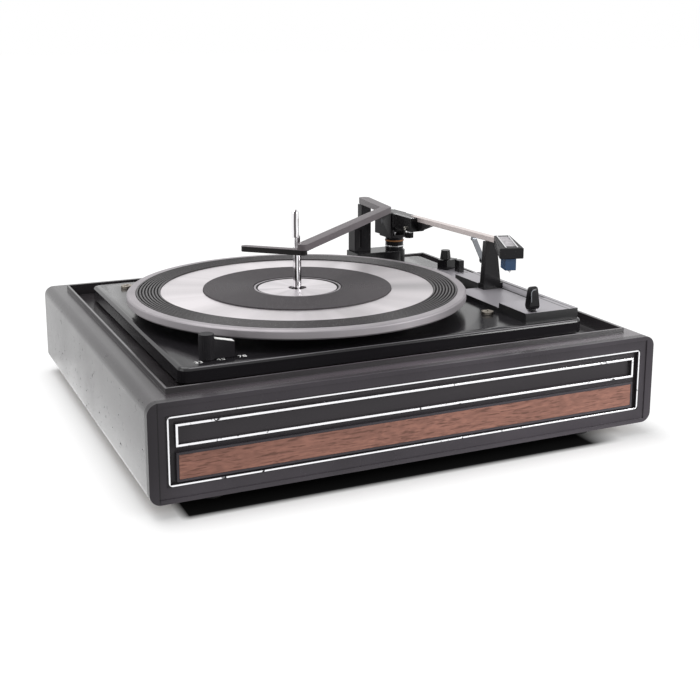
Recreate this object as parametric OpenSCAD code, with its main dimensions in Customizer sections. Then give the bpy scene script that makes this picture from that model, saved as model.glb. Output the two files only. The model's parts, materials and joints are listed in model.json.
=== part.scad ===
// Record changer: plinth, floating deck, turntable, drive, tonearm and record steady arm.
// Frame: +Z up, front towards -Y, origin on the table below the middle of the plinth, millimetres.

/* [Plinth] */
// Gap between the deck and the lip at the sides
gap_side = 16.2; // [12:0.1:24]
// Gap between the deck and the lip in front
gap_front = 25.7; // [20:0.1:32]
// Gap between the deck and the lip behind
gap_back = 22.2; // [16:0.1:30]
// Height of the plinth above its feet
plinth_h = 70; // [66:1:90]
// Corner radius of the plinth seen from the front
plinth_r = 8; // [5:0.5:10]
// Thickness of the plinth walls
plinth_wall = 4; // [3:0.5:5]
// Width of the top rim beside the well
rim_side = 17; // [15:0.5:17]
// Width of the top rim behind the well
rim_back = 19.5; // [17:0.5:20]
// Width of the top rim in front of the well, fascia included
rim_front = 16; // [14:0.5:18]
// Thickness of the lip round the well
lip_t = 1.8; // [1.4:0.1:2.4]
// Height of the lip above the plinth top
lip_h = 4; // [2:0.5:5]
// Depth of the well below the plinth top
well_depth = 6; // [5:0.5:6]
// Thickness of the well floor
floor_t = 3; // [2:0.5:5]
// Well floor kept under the deck at the sides
bay_side = 26; // [24:0.5:30]
// Well floor kept under the deck in front and behind
bay_end = 6.5; // [6.5:0.5:15]
// Thickness of the base board
board_t = 3; // [2:0.5:5]

/* [Feet] */
// Diameter of a foot
foot_d = 24; // [18:1:30]
// Height of a foot
foot_h = 10; // [8:0.5:14]
// Foot centre from the plinth side
foot_side = 50; // [40:1:56]
// Foot centre from the plinth front and back
foot_end = 29; // [26:1:34]
// Diameter of the foot screw shank
foot_screw_d = 4; // [3:0.5:5]

/* [Fascia] */
// Thickness of the fascia
fascia_t = 6; // [5:0.5:8]
// Depth of the channel and of the window
channel_depth = 3; // [2.5:0.25:3.5]
// Width of the outer frame at the sides
frame_side = 12.6; // [10:0.2:13]
// Width of the outer frame at the bottom
frame_bottom = 11.2; // [9:0.2:12]
// Width of the outer frame at the top
frame_top = 9.7; // [8:0.1:11]
// Width of the flat border outside the shallow step
frame_border = 6.5; // [5:0.5:7]
// Depth of the shallow step in the frame
frame_step = 0.8; // [0.4:0.1:1.2]
// Width of the bright line
line_w = 1.6; // [1.2:0.1:2]
// Thickness of the bright line
line_t = 0.6; // [0.4:0.1:0.8]
// Channel between the outer line and the inner panels
channel_w = 4.5; // [3.5:0.25:5]
// Height of the window panel with its bright line
window_h = 15.7; // [14:0.1:17]
// Channel between the window panel and the wood panel
panel_gap = 4; // [3:0.25:6]
// Black border round the wood strip
wood_border = 1.6; // [1:0.1:2]
// Height of the wood strip
wood_h = 17; // [14:0.5:18]
// Thickness of the wood strip
wood_t = 1.5; // [1:0.1:2]

/* [Deck] */
// Width of the deck plate
deck_w = 334; // [328:1:344]
// Depth of the deck plate
deck_d = 281; // [276:1:296]
// Deck top above the plinth top
deck_rise = 7.2; // [7:0.1:9]
// Height of the deck skirt
deck_h = 11; // [10:0.1:11]
// Sheet thickness of the deck
deck_t = 1.2; // [1:0.1:1.6]
// Corner radius of the deck
deck_r = 8; // [5:0.5:12]
// Edge radius of the deck top
deck_edge = 2.5; // [2:0.1:3]
// Suspension spring centre from the side of the deck
spring_side = 14; // [12:0.5:16]
// Suspension spring centre from the front and back of the deck
spring_end = 40.5; // [34:0.5:50]
// Outside diameter of a suspension spring
spring_d = 13; // [11:0.5:15]
// Wire diameter of a suspension spring
spring_wire = 1.6; // [1.2:0.1:1.8]
// Turns of a suspension spring
spring_turns = 4; // [3:1:4]
// Head diameter of a transit screw
transit_d = 10; // [8:0.5:12]

/* [Turntable] */
// Diameter of the platter
platter_d = 280; // [270:1:284]
// Platter centre, left to right
platter_x = -27.1; // [-30:0.1:-24]
// Platter centre, front to back
platter_y = -8.6; // [-11:0.1:-6]
// Height of the platter rim top above the deck
platter_rise = 16.9; // [16:0.1:19]
// Height of the platter skirt
skirt_h = 7.5; // [6:0.1:8]
// Thickness of the platter skirt
skirt_t = 3.5; // [2.5:0.1:4]
// Radius of the bearing tube
bearing_r = 6; // [5:0.25:6.5]
// Radius of the centre disc
disc_r = 33; // [28:0.5:34]
// Inner radius of the inner mat
mat_in = 37; // [36:0.5:40]
// Outer radius of the inner mat
mat_mid = 78; // [70:0.5:84]
// Inner radius of the outer mat
mat_out = 113; // [108:0.5:116]
// Outer radius of the outer mat
mat_edge = 132.5; // [130:0.5:133]
// Height of the mats above the rim top
mat_rise = 0.5; // [0.3:0.1:1.5]
// Number of ridges on the outer mat
mat_ridges = 7; // [4:1:9]
// Diameter of the spindle
spindle_d = 7.1; // [6.9:0.05:7.2]
// Height of the spindle top above the rim top
spindle_h = 65; // [58:0.5:75]

/* [Drive] */
// Tooth module of the change gears
gear_m = 1.25; // [1.25:0.05:1.3]
// Teeth on the platter pinion
pinion_teeth = 18; // [18:1:19]
// Teeth on the cam gear
cam_teeth = 96; // [90:1:96]
// Direction of the cam gear from the spindle
cam_angle = 40; // [36:1:44]
// Width of the change gears
gear_w = 5; // [4:0.5:5]
// Diameter of the idler wheel
idler_d = 54; // [48:1:54]
// Direction of the idler from the spindle
idler_angle = 150; // [146:1:152]
// Clearance of the parked idler from the platter skirt
idler_gap = 1.5; // [1:0.1:3]
// Width of the motor stack
stack_w = 64; // [54:1:68]
// Depth of the motor stack
stack_d = 52; // [44:1:54]
// Height of the motor stack
stack_h = 14; // [10:0.5:16]

/* [Control panel] */
// Width of the panel
panel_w = 49; // [46:0.5:50]
// Panel from the right side of the deck
panel_side = 3; // [2.5:0.5:5]
// Panel from the front of the deck
panel_end = 5; // [3.5:0.5:6.5]
// Depth of the front pad
pad_d = 40; // [36:0.5:44]
// Length of the pocket and of the raised platform behind the front pad
middle_d = 109.5; // [104:0.5:114]
// Length of the low rear floor
rear_floor_d = 48; // [46:0.5:54]
// Height of the raised panel above the deck
panel_h = 8; // [7:0.1:10]
// Height of the pocket floor above the deck
pocket_h = 3.8; // [3:0.1:4.5]
// Width of the rear platform
platform_w = 27; // [25:0.5:28]
// Width of the flat top of the right rib
rib_top = 4; // [3:0.5:5]
// Width of the sloped side of the right rib
rib_slope = 5; // [4:0.5:6]

/* [Tonearm] */
// Vertical pivot from the right side of the deck
pivot_side = 36.8; // [35:0.1:38]
// Vertical pivot from the back of the deck
pivot_end = 16.5; // [14:0.5:18]
// Angle of the parked arm, outwards from straight ahead
park_angle = 4.9; // [4:0.1:5.5]
// Height of the tube centre above the deck
tube_z = 48.8; // [47.5:0.1:50]
// Width of the tube
tube_w = 6; // [5:0.1:6.5]
// Height of the tube
tube_h = 4.6; // [4:0.1:5.5]
// Tube end from the pivot
tube_reach = 174; // [168:0.5:180]
// Left side of the arm housing from the tube axis
housing_left = 10; // [9:0.5:11]
// Right side of the arm housing from the tube axis
housing_right = 4.5; // [4.5:0.5:6]
// Length of the arm housing ahead of the pivot
housing_l = 46; // [42:0.5:50]
// Back of the counterweight behind the pivot
weight_l = 26; // [20:0.5:26]
// Inward angle of the headshell
shell_angle = 21; // [16:0.5:24]
// Length of the headshell
shell_l = 32; // [30:0.5:36]
// Width of the headshell in front
shell_w = 20.4; // [18:0.2:22]
// Width of the headshell at the tube
shell_tail_w = 14; // [13:0.2:16]

/* [Steady arm] */
// Column from the tonearm pivot, left to right
column_away = 34.2; // [33:0.1:36]
// Column centre from the back of the deck
column_end = 8.5; // [8.5:0.5:10]
// Width of the column
column_w = 17.5; // [16:0.5:19]
// Depth of the column
column_d = 15; // [13:0.5:15]
// Underside of the steady arm above the deck
steady_z = 59.5; // [58:0.1:62]
// Width of the steady arm
steady_w = 9.5; // [8:0.5:11]
// Thickness of the steady arm
steady_t = 5.5; // [4.5:0.1:6.5]

/* [Controls] */
// Function lever from the right side of the deck
lever_side = 42.5; // [39:0.5:44]
// Function lever from the front of the deck
lever_end = 11; // [10:0.5:15]
// Width of the function lever
lever_w = 9; // [8:0.5:11]
// Height of the function lever above the panel
lever_h = 20; // [16:0.5:24]
// Speed selector from the left side of the deck
speed_side = 24; // [21:0.5:27]
// Speed selector from the front of the deck
speed_end = 15.5; // [13:0.5:18]
// Height of the speed selector hub
speed_h = 18.5; // [16:0.5:22]
// Length of the speed selector fin
speed_l = 20; // [16:0.5:22]

/* [Hidden] */
$fn = 64;
// Clearance between fixed pieces that slip together
slip = 0.1;
// Running clearance of a shaft in its bore
run = 0.05;
// Gap that keeps two moving faces apart
apart = 0.3;
// Overshoot of a cut past the face that it opens
over = 1;

deck_right = deck_w / 2;
deck_back = deck_d / 2;
plinth_w = deck_w + 2 * (gap_side + lip_t + rim_side);
front_y = -deck_back - gap_front - lip_t - rim_front;
back_y = deck_back + gap_back + lip_t + rim_back;
bay_w = deck_w - 2 * bay_side;
bay_d = deck_d - 2 * bay_end;
fascia_y = front_y + fascia_t;
plinth_top = foot_h + plinth_h;
floor_top = plinth_top - well_depth;
floor_under = floor_top - floor_t;
inner_w = plinth_w - 2 * plinth_wall;
inner_front = fascia_y + plinth_wall;
inner_back = back_y - plinth_wall;
well_w = plinth_w - 2 * rim_side;
well_front = front_y + rim_front;
well_back = back_y - rim_back;
foot_x = plinth_w / 2 - foot_side;
foot_rows = [front_y + foot_end, back_y - foot_end];
board_top = foot_h + board_t;
pillar_r = 8;
foot_bore = 20;
gland_side = 82;
gland_x = gland_side - plinth_w / 2;
gland_z = 34;
gland_r = 7;
gland_flange = 2.5;
gland_sink = 2;

deck_top = plinth_top + deck_rise;
deck_under = deck_top - deck_t;
deck_foot = deck_top - deck_h;
transit_front = [63, 44.5];
transit_rear = [26, 23.5];
transit = [[deck_right - transit_front.x, transit_front.y - deck_back],
    [transit_rear.x - deck_right, deck_back - transit_rear.y]];
tongue_w = 22;
transit_shank = 4;
transit_play = 1.5;

line_x = plinth_w / 2 - frame_side;
line_z0 = foot_h + frame_bottom;
line_z1 = plinth_top - frame_top;
panel_x = line_x - line_w - channel_w;
window_z1 = line_z1 - line_w - channel_w;
window_z0 = window_z1 - window_h;
wood_z1 = window_z0 - panel_gap - wood_border;
wood_z0 = wood_z1 - wood_h;
wood_x = panel_x - wood_border;

rim_top = deck_top + platter_rise;
platter_r = platter_d / 2;
web_sink = 3;
web_t = 1.6;
web_top = rim_top - web_sink;
race_h = 2.5;
hub_r = 9.5;
hub_z = deck_top + race_h + run;
mat_gap = 0.2;
spindle_r = spindle_d / 2;
spindle_top = rim_top + spindle_h;

function polar(a, r) = [r * cos(a), r * sin(a)];
function on_platter(a, r) = [platter_x, platter_y] + polar(a, r);

// Rectangle with round corners
module round_rect(w, h, r) {
    square([w - 2 * r, h], center = true);
    square([w, h - 2 * r], center = true);
    for (x = [-1, 1], y = [-1, 1])
        translate([x * (w / 2 - r), y * (h / 2 - r)])
            circle(r);
}

// Flat outline drawn in X and Z, and pushed back from a front plane
module from_front(y, depth) {
    translate([0, y + depth, 0])
        rotate([90, 0, 0])
            linear_extrude(depth)
                children();
}

// Rectangle between two corners
module rect(x0, y0, x1, y1) {
    translate([x0, y0])
        square([x1 - x0, y1 - y0]);
}

// Box between two corners
module box(p, q) {
    translate(p)
        cube(q - p);
}

// Ring or washer between two heights
module ring(r_in, r_out, z0, z1) {
    translate([0, 0, z0])
        difference() {
            cylinder(r = r_out, h = z1 - z0);
            translate([0, 0, -over])
                cylinder(r = r_in, h = z1 - z0 + 2 * over);
        }
}

module at_feet() {
    for (x = [-foot_x, foot_x], y = foot_rows)
        translate([x, y, 0])
            children();
}

module at_spindle() {
    translate([platter_x, platter_y, 0])
        children();
}

// Outline of the plinth from the front
module plinth_outline() {
    translate([0, foot_h + plinth_h / 2])
        round_rect(plinth_w, plinth_h, plinth_r);
}

// Opening in the well floor, with two tongues left under the transit screws
module bay_outline() {
    difference() {
        square([bay_w, bay_d], center = true);
        rect(transit[0].x - tongue_w / 2, -bay_d / 2 - over, transit[0].x + tongue_w / 2,
            transit[0].y + tongue_w / 2);
        rect(-bay_w / 2 - over, transit[1].y - tongue_w / 2, transit[1].x + tongue_w / 2,
            bay_d / 2 + over);
    }
}

module plinth_shell() {
    well_wall = 3;
    color([0.19, 0.18, 0.19])
        union() {
            difference() {
                union() {
                    from_front(fascia_y, back_y - fascia_y)
                        plinth_outline();
                    translate([0, 0, plinth_top - over])
                        linear_extrude(lip_h + over)
                            rect(-well_w / 2, well_front, well_w / 2, well_back);
                }
                translate([0, 0, floor_top])
                    linear_extrude(plinth_h)
                        rect(lip_t - well_w / 2, well_front + lip_t,
                            well_w / 2 - lip_t, well_back - lip_t);
                translate([0, 0, foot_h - over])
                    linear_extrude(floor_under - foot_h + over)
                        rect(-inner_w / 2, inner_front, inner_w / 2, inner_back);
                translate([0, 0, floor_under - over])
                    linear_extrude(plinth_top - plinth_wall - floor_under + over)
                        difference() {
                            rect(-inner_w / 2, inner_front, inner_w / 2, inner_back);
                            rect(-well_w / 2 - well_wall, well_front - well_wall,
                                well_w / 2 + well_wall, well_back + well_wall);
                        }
                translate([0, 0, floor_under - over])
                    linear_extrude(floor_t + 2 * over)
                        bay_outline();
                for (p = transit)
                    translate([p.x, p.y, floor_under - over])
                        cylinder(d = transit_shank + 2 * transit_play, h = floor_t + 2 * over);
                translate([gland_x, back_y + over, gland_z])
                    rotate([90, 0, 0])
                        cylinder(r = gland_r, h = plinth_wall + 2 * over);
                translate([gland_x, back_y + over, gland_z])
                    rotate([90, 0, 0])
                        cylinder(r = gland_r + gland_flange + slip, h = gland_sink + over);
            }
            at_feet()
                difference() {
                    translate([0, 0, board_top])
                        cylinder(r = pillar_r, h = floor_under - board_top + over);
                    cylinder(d = foot_screw_d + 2 * slip, h = board_top + foot_bore);
                }
        }
}

module fascia() {
    color([0.16, 0.15, 0.16])
        union() {
            from_front(front_y + channel_depth, fascia_t - channel_depth)
                plinth_outline();
            difference() {
                from_front(front_y, channel_depth)
                    difference() {
                        plinth_outline();
                        rect(-line_x, line_z0, line_x, line_z1);
                    }
                from_front(front_y - over, frame_step + over)
                    rect(-plinth_w / 2 + frame_border, foot_h + frame_border / 2,
                        plinth_w / 2 - frame_border, plinth_top - frame_border / 2);
            }
            from_front(front_y + line_t, channel_depth - line_t)
                line_outline();
            difference() {
                from_front(front_y, channel_depth)
                    rect(-panel_x, wood_z0 - wood_border, panel_x, wood_z1 + wood_border);
                from_front(front_y - over, wood_t + over)
                    rect(-wood_x, wood_z0, wood_x, wood_z1);
            }
        }
}

// Bright lines: one round the whole front and one round the window
module line_outline() {
    difference() {
        rect(-line_x, line_z0, line_x, line_z1);
        rect(-line_x + line_w, line_z0 + line_w, line_x - line_w, line_z1 - line_w);
    }
    difference() {
        rect(-panel_x, window_z0, panel_x, window_z1);
        rect(-panel_x + line_w, window_z0 + line_w, panel_x - line_w, window_z1 - line_w);
    }
}

module fascia_trim() {
    color([0.85, 0.85, 0.87])
        from_front(front_y, line_t)
            line_outline();
}

module wood_strip() {
    color([0.45, 0.29, 0.23])
        from_front(front_y, wood_t)
            rect(-wood_x + slip, wood_z0 + slip, wood_x - slip, wood_z1 - slip);
}

module base_board() {
    color([0.35, 0.28, 0.22])
        difference() {
            translate([0, 0, foot_h])
                linear_extrude(board_t)
                    rect(-inner_w / 2 + slip, inner_front + slip, inner_w / 2 - slip, inner_back - slip);
            at_feet()
                cylinder(d = foot_screw_d + 2 * slip, h = board_top + over);
        }
}

module feet() {
    recess = 4;
    taper = 2;
    color([0.1, 0.1, 0.1])
        at_feet()
            rotate_extrude()
                polygon([[foot_screw_d + slip, 0], [foot_d / 2 - taper, 0], [foot_d / 2, foot_h],
                    [foot_screw_d / 2 + slip, foot_h], [foot_screw_d / 2 + slip, recess],
                    [foot_screw_d + slip, recess]]);
}

module foot_screws() {
    head_z = 1.5;
    recess = 4;
    color([0.6, 0.6, 0.62])
        at_feet() {
            translate([0, 0, head_z])
                cylinder(r = foot_screw_d, h = recess - head_z);
            translate([0, 0, head_z])
                cylinder(d = foot_screw_d, h = board_top + foot_bore - head_z - slip);
        }
}

module lead_grommet() {
    bore = 3.5;
    inner_t = 2;
    flange_r = gland_r + gland_flange;
    neck_r = gland_r - slip;
    color([0.08, 0.08, 0.08])
        translate([gland_x, back_y, gland_z])
            rotate([90, 0, 0])
                rotate_extrude()
                    polygon([[bore, 0], [flange_r, 0], [flange_r, gland_sink], [neck_r, gland_sink],
                        [neck_r, plinth_wall], [flange_r, plinth_wall], [flange_r, plinth_wall + inner_t],
                        [bore, plinth_wall + inner_t]]);
}

// Slab with round corners and a rounded top edge
module soft_slab(w, d, h, r, edge) {
    edge_step = 30;
    hull()
        for (x = [-1, 1], y = [-1, 1], a = [0:edge_step:90])
            translate([x * (w / 2 - r), y * (d / 2 - r), 0])
                cylinder(r = r - edge * (1 - cos(a)), h = h - edge * (1 - sin(a)), $fn = 32);
}

module deck_plate() {
    color([0.07, 0.07, 0.08])
        difference() {
            translate([0, 0, deck_foot])
                soft_slab(deck_w, deck_d, deck_h, deck_r, deck_edge);
            translate([0, 0, deck_foot - over])
                linear_extrude(deck_h - deck_t + over)
                    round_rect(deck_w - 2 * deck_t, deck_d - 2 * deck_t, deck_r - deck_t);
            at_spindle()
                deck_hole(bearing_r + slip);
            for (p = transit)
                translate([p.x, p.y, 0])
                    deck_hole(transit_shank / 2 + slip);
            translate(motor_at)
                deck_hole(pulley_hole);
            translate([lever_x, lever_y, 0])
                box([-lever_stem_w / 2 - apart, -lever_slot / 2, deck_under - over],
                    [lever_stem_w / 2 + apart, lever_slot / 2, deck_top + over]);
            translate([speed_x, speed_y, 0])
                deck_hole(speed_shaft_r + run);
            translate([pivot_x, pivot_y, 0])
                deck_hole(pillar_spigot_r + slip);
        }
}

module deck_hole(r) {
    translate([0, 0, deck_under - over])
        cylinder(r = r, h = deck_t + 2 * over);
}

// Points round a tube that follows a rising coil
function coil_centre(t, r, h, turns) = [r * cos(360 * turns * t), r * sin(360 * turns * t), h * t];
function coil_ring(t, r, h, turns, wire) = [for (k = [0:5])
    let (a = 360 * turns * t, u = 60 * k)
    [(r + wire / 2 * cos(u)) * cos(a), (r + wire / 2 * cos(u)) * sin(a), h * t + wire / 2 * sin(u)]];

spring_low = floor_top + apart;
spring_high = deck_under - apart;
spring_r = (spring_d - spring_wire) / 2;
spring_rise = spring_high - spring_low - spring_wire;
spring_steps = 8 * spring_turns;
spring_sine = sin(60);
spring_gap = min([for (i = [0:spring_steps], j = [0:spring_steps]) if (j - i >= 6)
    norm(coil_centre(j / spring_steps, spring_r, spring_rise, spring_turns)
        - coil_centre(i / spring_steps, spring_r, spring_rise, spring_turns))]) - spring_wire;
echo(least_spring_gap = spring_gap);

// One unbroken wire wound up from the well floor to the deck
module suspension_springs() {
    rings = [for (i = [0:spring_steps])
        each coil_ring(i / spring_steps, spring_r, spring_rise, spring_turns, spring_wire)];
    last = 6 * spring_steps;
    sides = [for (i = [0:spring_steps - 1], k = [0:5])
        let (p = 6 * i + k, q = 6 * i + (k + 1) % 6)
        each [[p, q + 6, q], [p, p + 6, q + 6]]];
    caps = [for (k = [1:4]) each [[0, k, k + 1], [last, last + k + 1, last + k]]];
    color([0.5, 0.5, 0.5])
        for (x = [-1, 1], y = [-1, 1])
            translate([x * (deck_right - spring_side), y * (deck_back - spring_end),
                    spring_low + spring_wire / 2 * spring_sine])
                polyhedron(rings, concat(sides, caps));
}

module transit_screws() {
    head_h = 2.5;
    slot_w = 1.4;
    slot_depth = 1;
    color([0.78, 0.76, 0.72])
        for (p = transit)
            translate([p.x, p.y, 0])
                difference() {
                    union() {
                        translate([0, 0, deck_top])
                            cylinder(d = transit_d, h = head_h);
                        translate([0, 0, floor_under - floor_t])
                            cylinder(d = transit_shank, h = deck_top - floor_under + floor_t);
                    }
                    for (a = [45, 135])
                        rotate(a)
                            translate([-transit_d * 0.4, -slot_w / 2, deck_top + head_h - slot_depth])
                                cube([transit_d * 0.8, slot_w, slot_depth + over]);
                }
}

panel_z = deck_top + panel_h;
pocket_z = deck_top + pocket_h;
panel_right = deck_right - panel_side;
panel_left = panel_right - panel_w;
panel_front = panel_end - deck_back;
pad_back = panel_front + pad_d;
platform_back = pad_back + middle_d;
rear_back = platform_back + rear_floor_d;
platform_left = panel_right - platform_w;
pivot_x = deck_right - pivot_side;
pivot_y = deck_back - pivot_end;
post_ahead = 14;
post_at = [pivot_x, pivot_y] + polar(park_angle - 90, tube_reach - post_ahead);
post_d = 9;
post_left = 7;
post_w = 19.6;
pocket_back = post_at.y + post_d;

module control_panel() {
    groove_w = 1;
    groove_depth = 0.8;
    color([0.67, 0.64, 0.66])
        difference() {
            union() {
                box([panel_left, panel_front, deck_top], [panel_right, pad_back, panel_z]);
                box([panel_left, pad_back - over, deck_top], [panel_right, pocket_back + over, pocket_z]);
                translate([0, pocket_back + over, 0])
                    rotate([90, 0, 0])
                        linear_extrude(pocket_back - pad_back + 2 * over)
                            polygon([[panel_right, deck_top], [panel_right, panel_z],
                                [panel_right - rib_top, panel_z],
                                [panel_right - rib_top - rib_slope, pocket_z],
                                [panel_right - rib_top - rib_slope, deck_top]]);
                box([platform_left, pocket_back, deck_top], [panel_right, platform_back, panel_z]);
                box([platform_left, platform_back - over, deck_top], [panel_right, rear_back, pocket_z]);
            }
            box([panel_right - rib_top - groove_w, pocket_back + over, panel_z - groove_depth],
                [panel_right - rib_top, platform_back + over, panel_z + over]);
            translate([lever_x, lever_y, 0])
                box([-lever_stem_w / 2 - apart, -lever_slot / 2, deck_top - over],
                    [lever_stem_w / 2 + apart, lever_slot / 2, panel_z + over]);
            translate([lever_x - lever_w / 2 - apart, lever_y, lever_pivot_z])
                rotate([0, 90, 0])
                    cylinder(r = lever_pin_r + run, h = lever_w + 2 * apart);
            box([post_at.x - post_left - slip, post_at.y - slip, pocket_z],
                [post_at.x - post_left + post_w + slip, post_at.y + post_d + slip, panel_z + over]);
        }
}

module bearing_tube() {
    flange_r = 16;
    flange_t = 1.5;
    color([0.7, 0.7, 0.72])
        at_spindle()
            difference() {
                union() {
                    translate([0, 0, deck_under - flange_t])
                        cylinder(r = flange_r, h = flange_t);
                    translate([0, 0, deck_under - flange_t])
                        cylinder(r = bearing_r, h = web_top - deck_under + flange_t);
                }
                translate([0, 0, deck_under - flange_t - over])
                    cylinder(r = spindle_r + slip, h = rim_top);
            }
}

module thrust_race() {
    race_r = 11;
    color([0.75, 0.72, 0.6])
        at_spindle()
            ring(bearing_r + slip, race_r, deck_top, deck_top + race_h);
}

// Gear outline with straight flanks, addendum and dedendum in modules
module gear_outline(teeth, phase) {
    addendum = 0.8;
    dedendum = 1.2;
    backlash = 0.2;
    pitch_r = gear_m * teeth / 2;
    tip = pitch_r + addendum * gear_m;
    root = pitch_r - dedendum * gear_m;
    half = 90 / teeth - backlash / pitch_r * 90 / PI;
    lean = tan(20) * 180 / PI / pitch_r * gear_m;
    polygon([for (i = [0:teeth - 1], s = [[root, -1, dedendum], [tip, -1, -addendum],
            [tip, 1, -addendum], [root, 1, dedendum]])
        polar(phase + 360 * i / teeth + s[1] * (half + s[2] * lean), s[0])]);
}

module platter() {
    bevel = 1.2;
    lip_w = 3.6;
    lip_top = rim_top - mat_gap;
    rim_in = mat_edge + mat_gap;
    pinion_over = 2;
    pinion_wall = 1;
    color([0.75, 0.75, 0.77])
        at_spindle()
            union() {
                rotate_extrude($fn = 180)
                    polygon([[bearing_r + run, hub_z], [hub_r, hub_z], [hub_r, web_top - web_t],
                        [platter_r - skirt_t, web_top - web_t], [platter_r - skirt_t, rim_top - skirt_h],
                        [platter_r - bevel, rim_top - skirt_h], [platter_r, rim_top - skirt_h + bevel],
                        [platter_r, rim_top - bevel], [platter_r - bevel, rim_top], [rim_in, rim_top],
                        [rim_in, web_top], [mat_in - mat_gap, web_top], [mat_in - mat_gap, lip_top],
                        [mat_in - lip_w, lip_top], [mat_in - lip_w, web_top], [bearing_r + run, web_top]]);
                translate([0, 0, hub_z])
                    linear_extrude(gear_w + pinion_over)
                        difference() {
                            gear_outline(pinion_teeth, cam_angle);
                            circle(hub_r - pinion_wall);
                        }
            }
}

module platter_ring() {
    ring_sink = 0.8;
    color([0.8, 0.8, 0.82])
        at_spindle()
            ring(mat_mid + mat_gap, mat_out - mat_gap, web_top, rim_top - ring_sink);
}

// Mat cross-section with ridges standing on a flat web
module ribbed_mat(r_in, r_out, ridges, groove) {
    base_top = rim_top + mat_rise - groove;
    pitch = (r_out - r_in) / ridges;
    land = 0.55;
    edge_w = 1;
    rotate_extrude($fn = 180)
        union() {
            rect(r_in, web_top, r_out, base_top);
            for (i = [0:ridges - 1])
                rect(r_in + pitch * i, base_top - over, r_in + pitch * (i + land), rim_top + mat_rise);
            rect(r_out - edge_w, base_top - over, r_out, rim_top + mat_rise);
        }
}

module outer_mat() {
    groove = 1.2;
    color([0.33, 0.32, 0.33])
        at_spindle()
            ribbed_mat(mat_out, mat_edge, mat_ridges, groove);
}

module inner_mat() {
    ridges = 8;
    groove = 0.6;
    color([0.33, 0.32, 0.33])
        at_spindle()
            ribbed_mat(mat_in, mat_mid, ridges, groove);
}

module centre_disc() {
    hole_r = 7.5;
    disc_sink = 0.6;
    color([0.8, 0.8, 0.82])
        at_spindle()
            ring(hole_r, disc_r, web_top, rim_top - disc_sink);
}

shelf_drop = 32;
shelf_neck = 9;
spindle_shoulder = spindle_top - shelf_drop;
spindle_kink = spindle_shoulder + shelf_neck;
pusher_w = 2;
pusher_h = 8;
pusher_drop = 3;
pusher_z = spindle_shoulder - pusher_h - pusher_drop;

module spindle() {
    tail = 22;
    neck_r = 2.6;
    head_r = 3.2;
    shift = 1.6;
    groove_w = 1.2;
    groove_depth = 0.9;
    groove_stop = 2;
    color([0.85, 0.85, 0.87])
        at_spindle()
            difference() {
                union() {
                    translate([0, 0, deck_under - tail])
                        cylinder(r = spindle_r, h = spindle_shoulder - deck_under + tail);
                    translate([0, 0, spindle_shoulder - over])
                        cylinder(r = neck_r, h = spindle_kink - spindle_shoulder + 2 * over);
                    translate([-shift, 0, spindle_kink])
                        cylinder(r = head_r, h = spindle_top - head_r - spindle_kink);
                    translate([-shift, 0, spindle_top - head_r])
                        sphere(r = head_r);
                }
                translate([-groove_w / 2, -spindle_r - over, rim_top])
                    cube([groove_w, groove_depth + over, pusher_z - rim_top - groove_stop]);
                box([-over, -pusher_w / 2 - slip, pusher_z - slip],
                    [spindle_r + over, pusher_w / 2 + slip, pusher_z + pusher_h + slip]);
            }
}

// Latch in a slot of the spindle that pushes the lowest record off the shelf
module spindle_pusher() {
    color([0.8, 0.8, 0.82])
        at_spindle()
            box([-over + slip, -pusher_w / 2, pusher_z],
                [spindle_r - apart, pusher_w / 2, pusher_z + pusher_h]);
}

idler_r = idler_d / 2;
idler_at = on_platter(idler_angle, platter_r - skirt_t - idler_gap - idler_r);
pulley_r = 3.5;
pulley_gap = 1.2;
pulley_hole = 8;
motor_angle = 25;
motor_at = idler_at + polar(motor_angle, idler_r + pulley_r + pulley_gap);
motor_shaft_r = 1.5;
plate_t = 1.5;
grommet_h = 7;
stack_top = deck_under - grommet_h - plate_t;
stack_low = stack_top - stack_h;
stack_shift = 10;
rotor_r = 13;
rotor_gap = 0.4;
leg_w = 10;
leg_window = 12;
leg_h = 30;

// Laminated stack with the rotor bore and a window beside the coil leg
module motor_stator() {
    right = stack_shift + stack_w / 2;
    color([0.45, 0.45, 0.47])
        translate([motor_at.x, motor_at.y, stack_low])
            linear_extrude(stack_h)
                difference() {
                    rect(stack_shift - stack_w / 2, -stack_d / 2, right, stack_d / 2);
                    circle(rotor_r + rotor_gap);
                    rect(right - leg_w - leg_window, -leg_h / 2, right - leg_w, leg_h / 2);
                }
}

module motor_coil() {
    right = stack_shift + stack_w / 2;
    build = 8;
    color([0.55, 0.35, 0.2])
        translate([motor_at.x, motor_at.y, 0])
            difference() {
                box([right - leg_w - build, -leg_h / 2 + slip, stack_low - build],
                    [right + build, leg_h / 2 - slip, stack_top + plate_t]);
                box([right - leg_w - slip, -leg_h, stack_low - slip],
                    [right + slip, leg_h, stack_top + slip]);
            }
}

module motor_plates() {
    half_l = 24;
    half_w = 9;
    color([0.6, 0.6, 0.62])
        translate([motor_at.x, motor_at.y, 0])
            for (z = [stack_low - plate_t, stack_top])
                translate([0, 0, z])
                    linear_extrude(plate_t)
                        difference() {
                            rect(-half_w, -half_l, half_w, half_l);
                            circle(motor_shaft_r + run);
                        }
}

module motor_grommets() {
    grommet_r = 5;
    grommet_bore = 2;
    spread = 18;
    color([0.12, 0.12, 0.12])
        for (y = [-1, 1])
            translate([motor_at.x, motor_at.y + y * spread, 0])
                ring(grommet_bore, grommet_r, stack_top + plate_t, deck_under);
}

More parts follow.
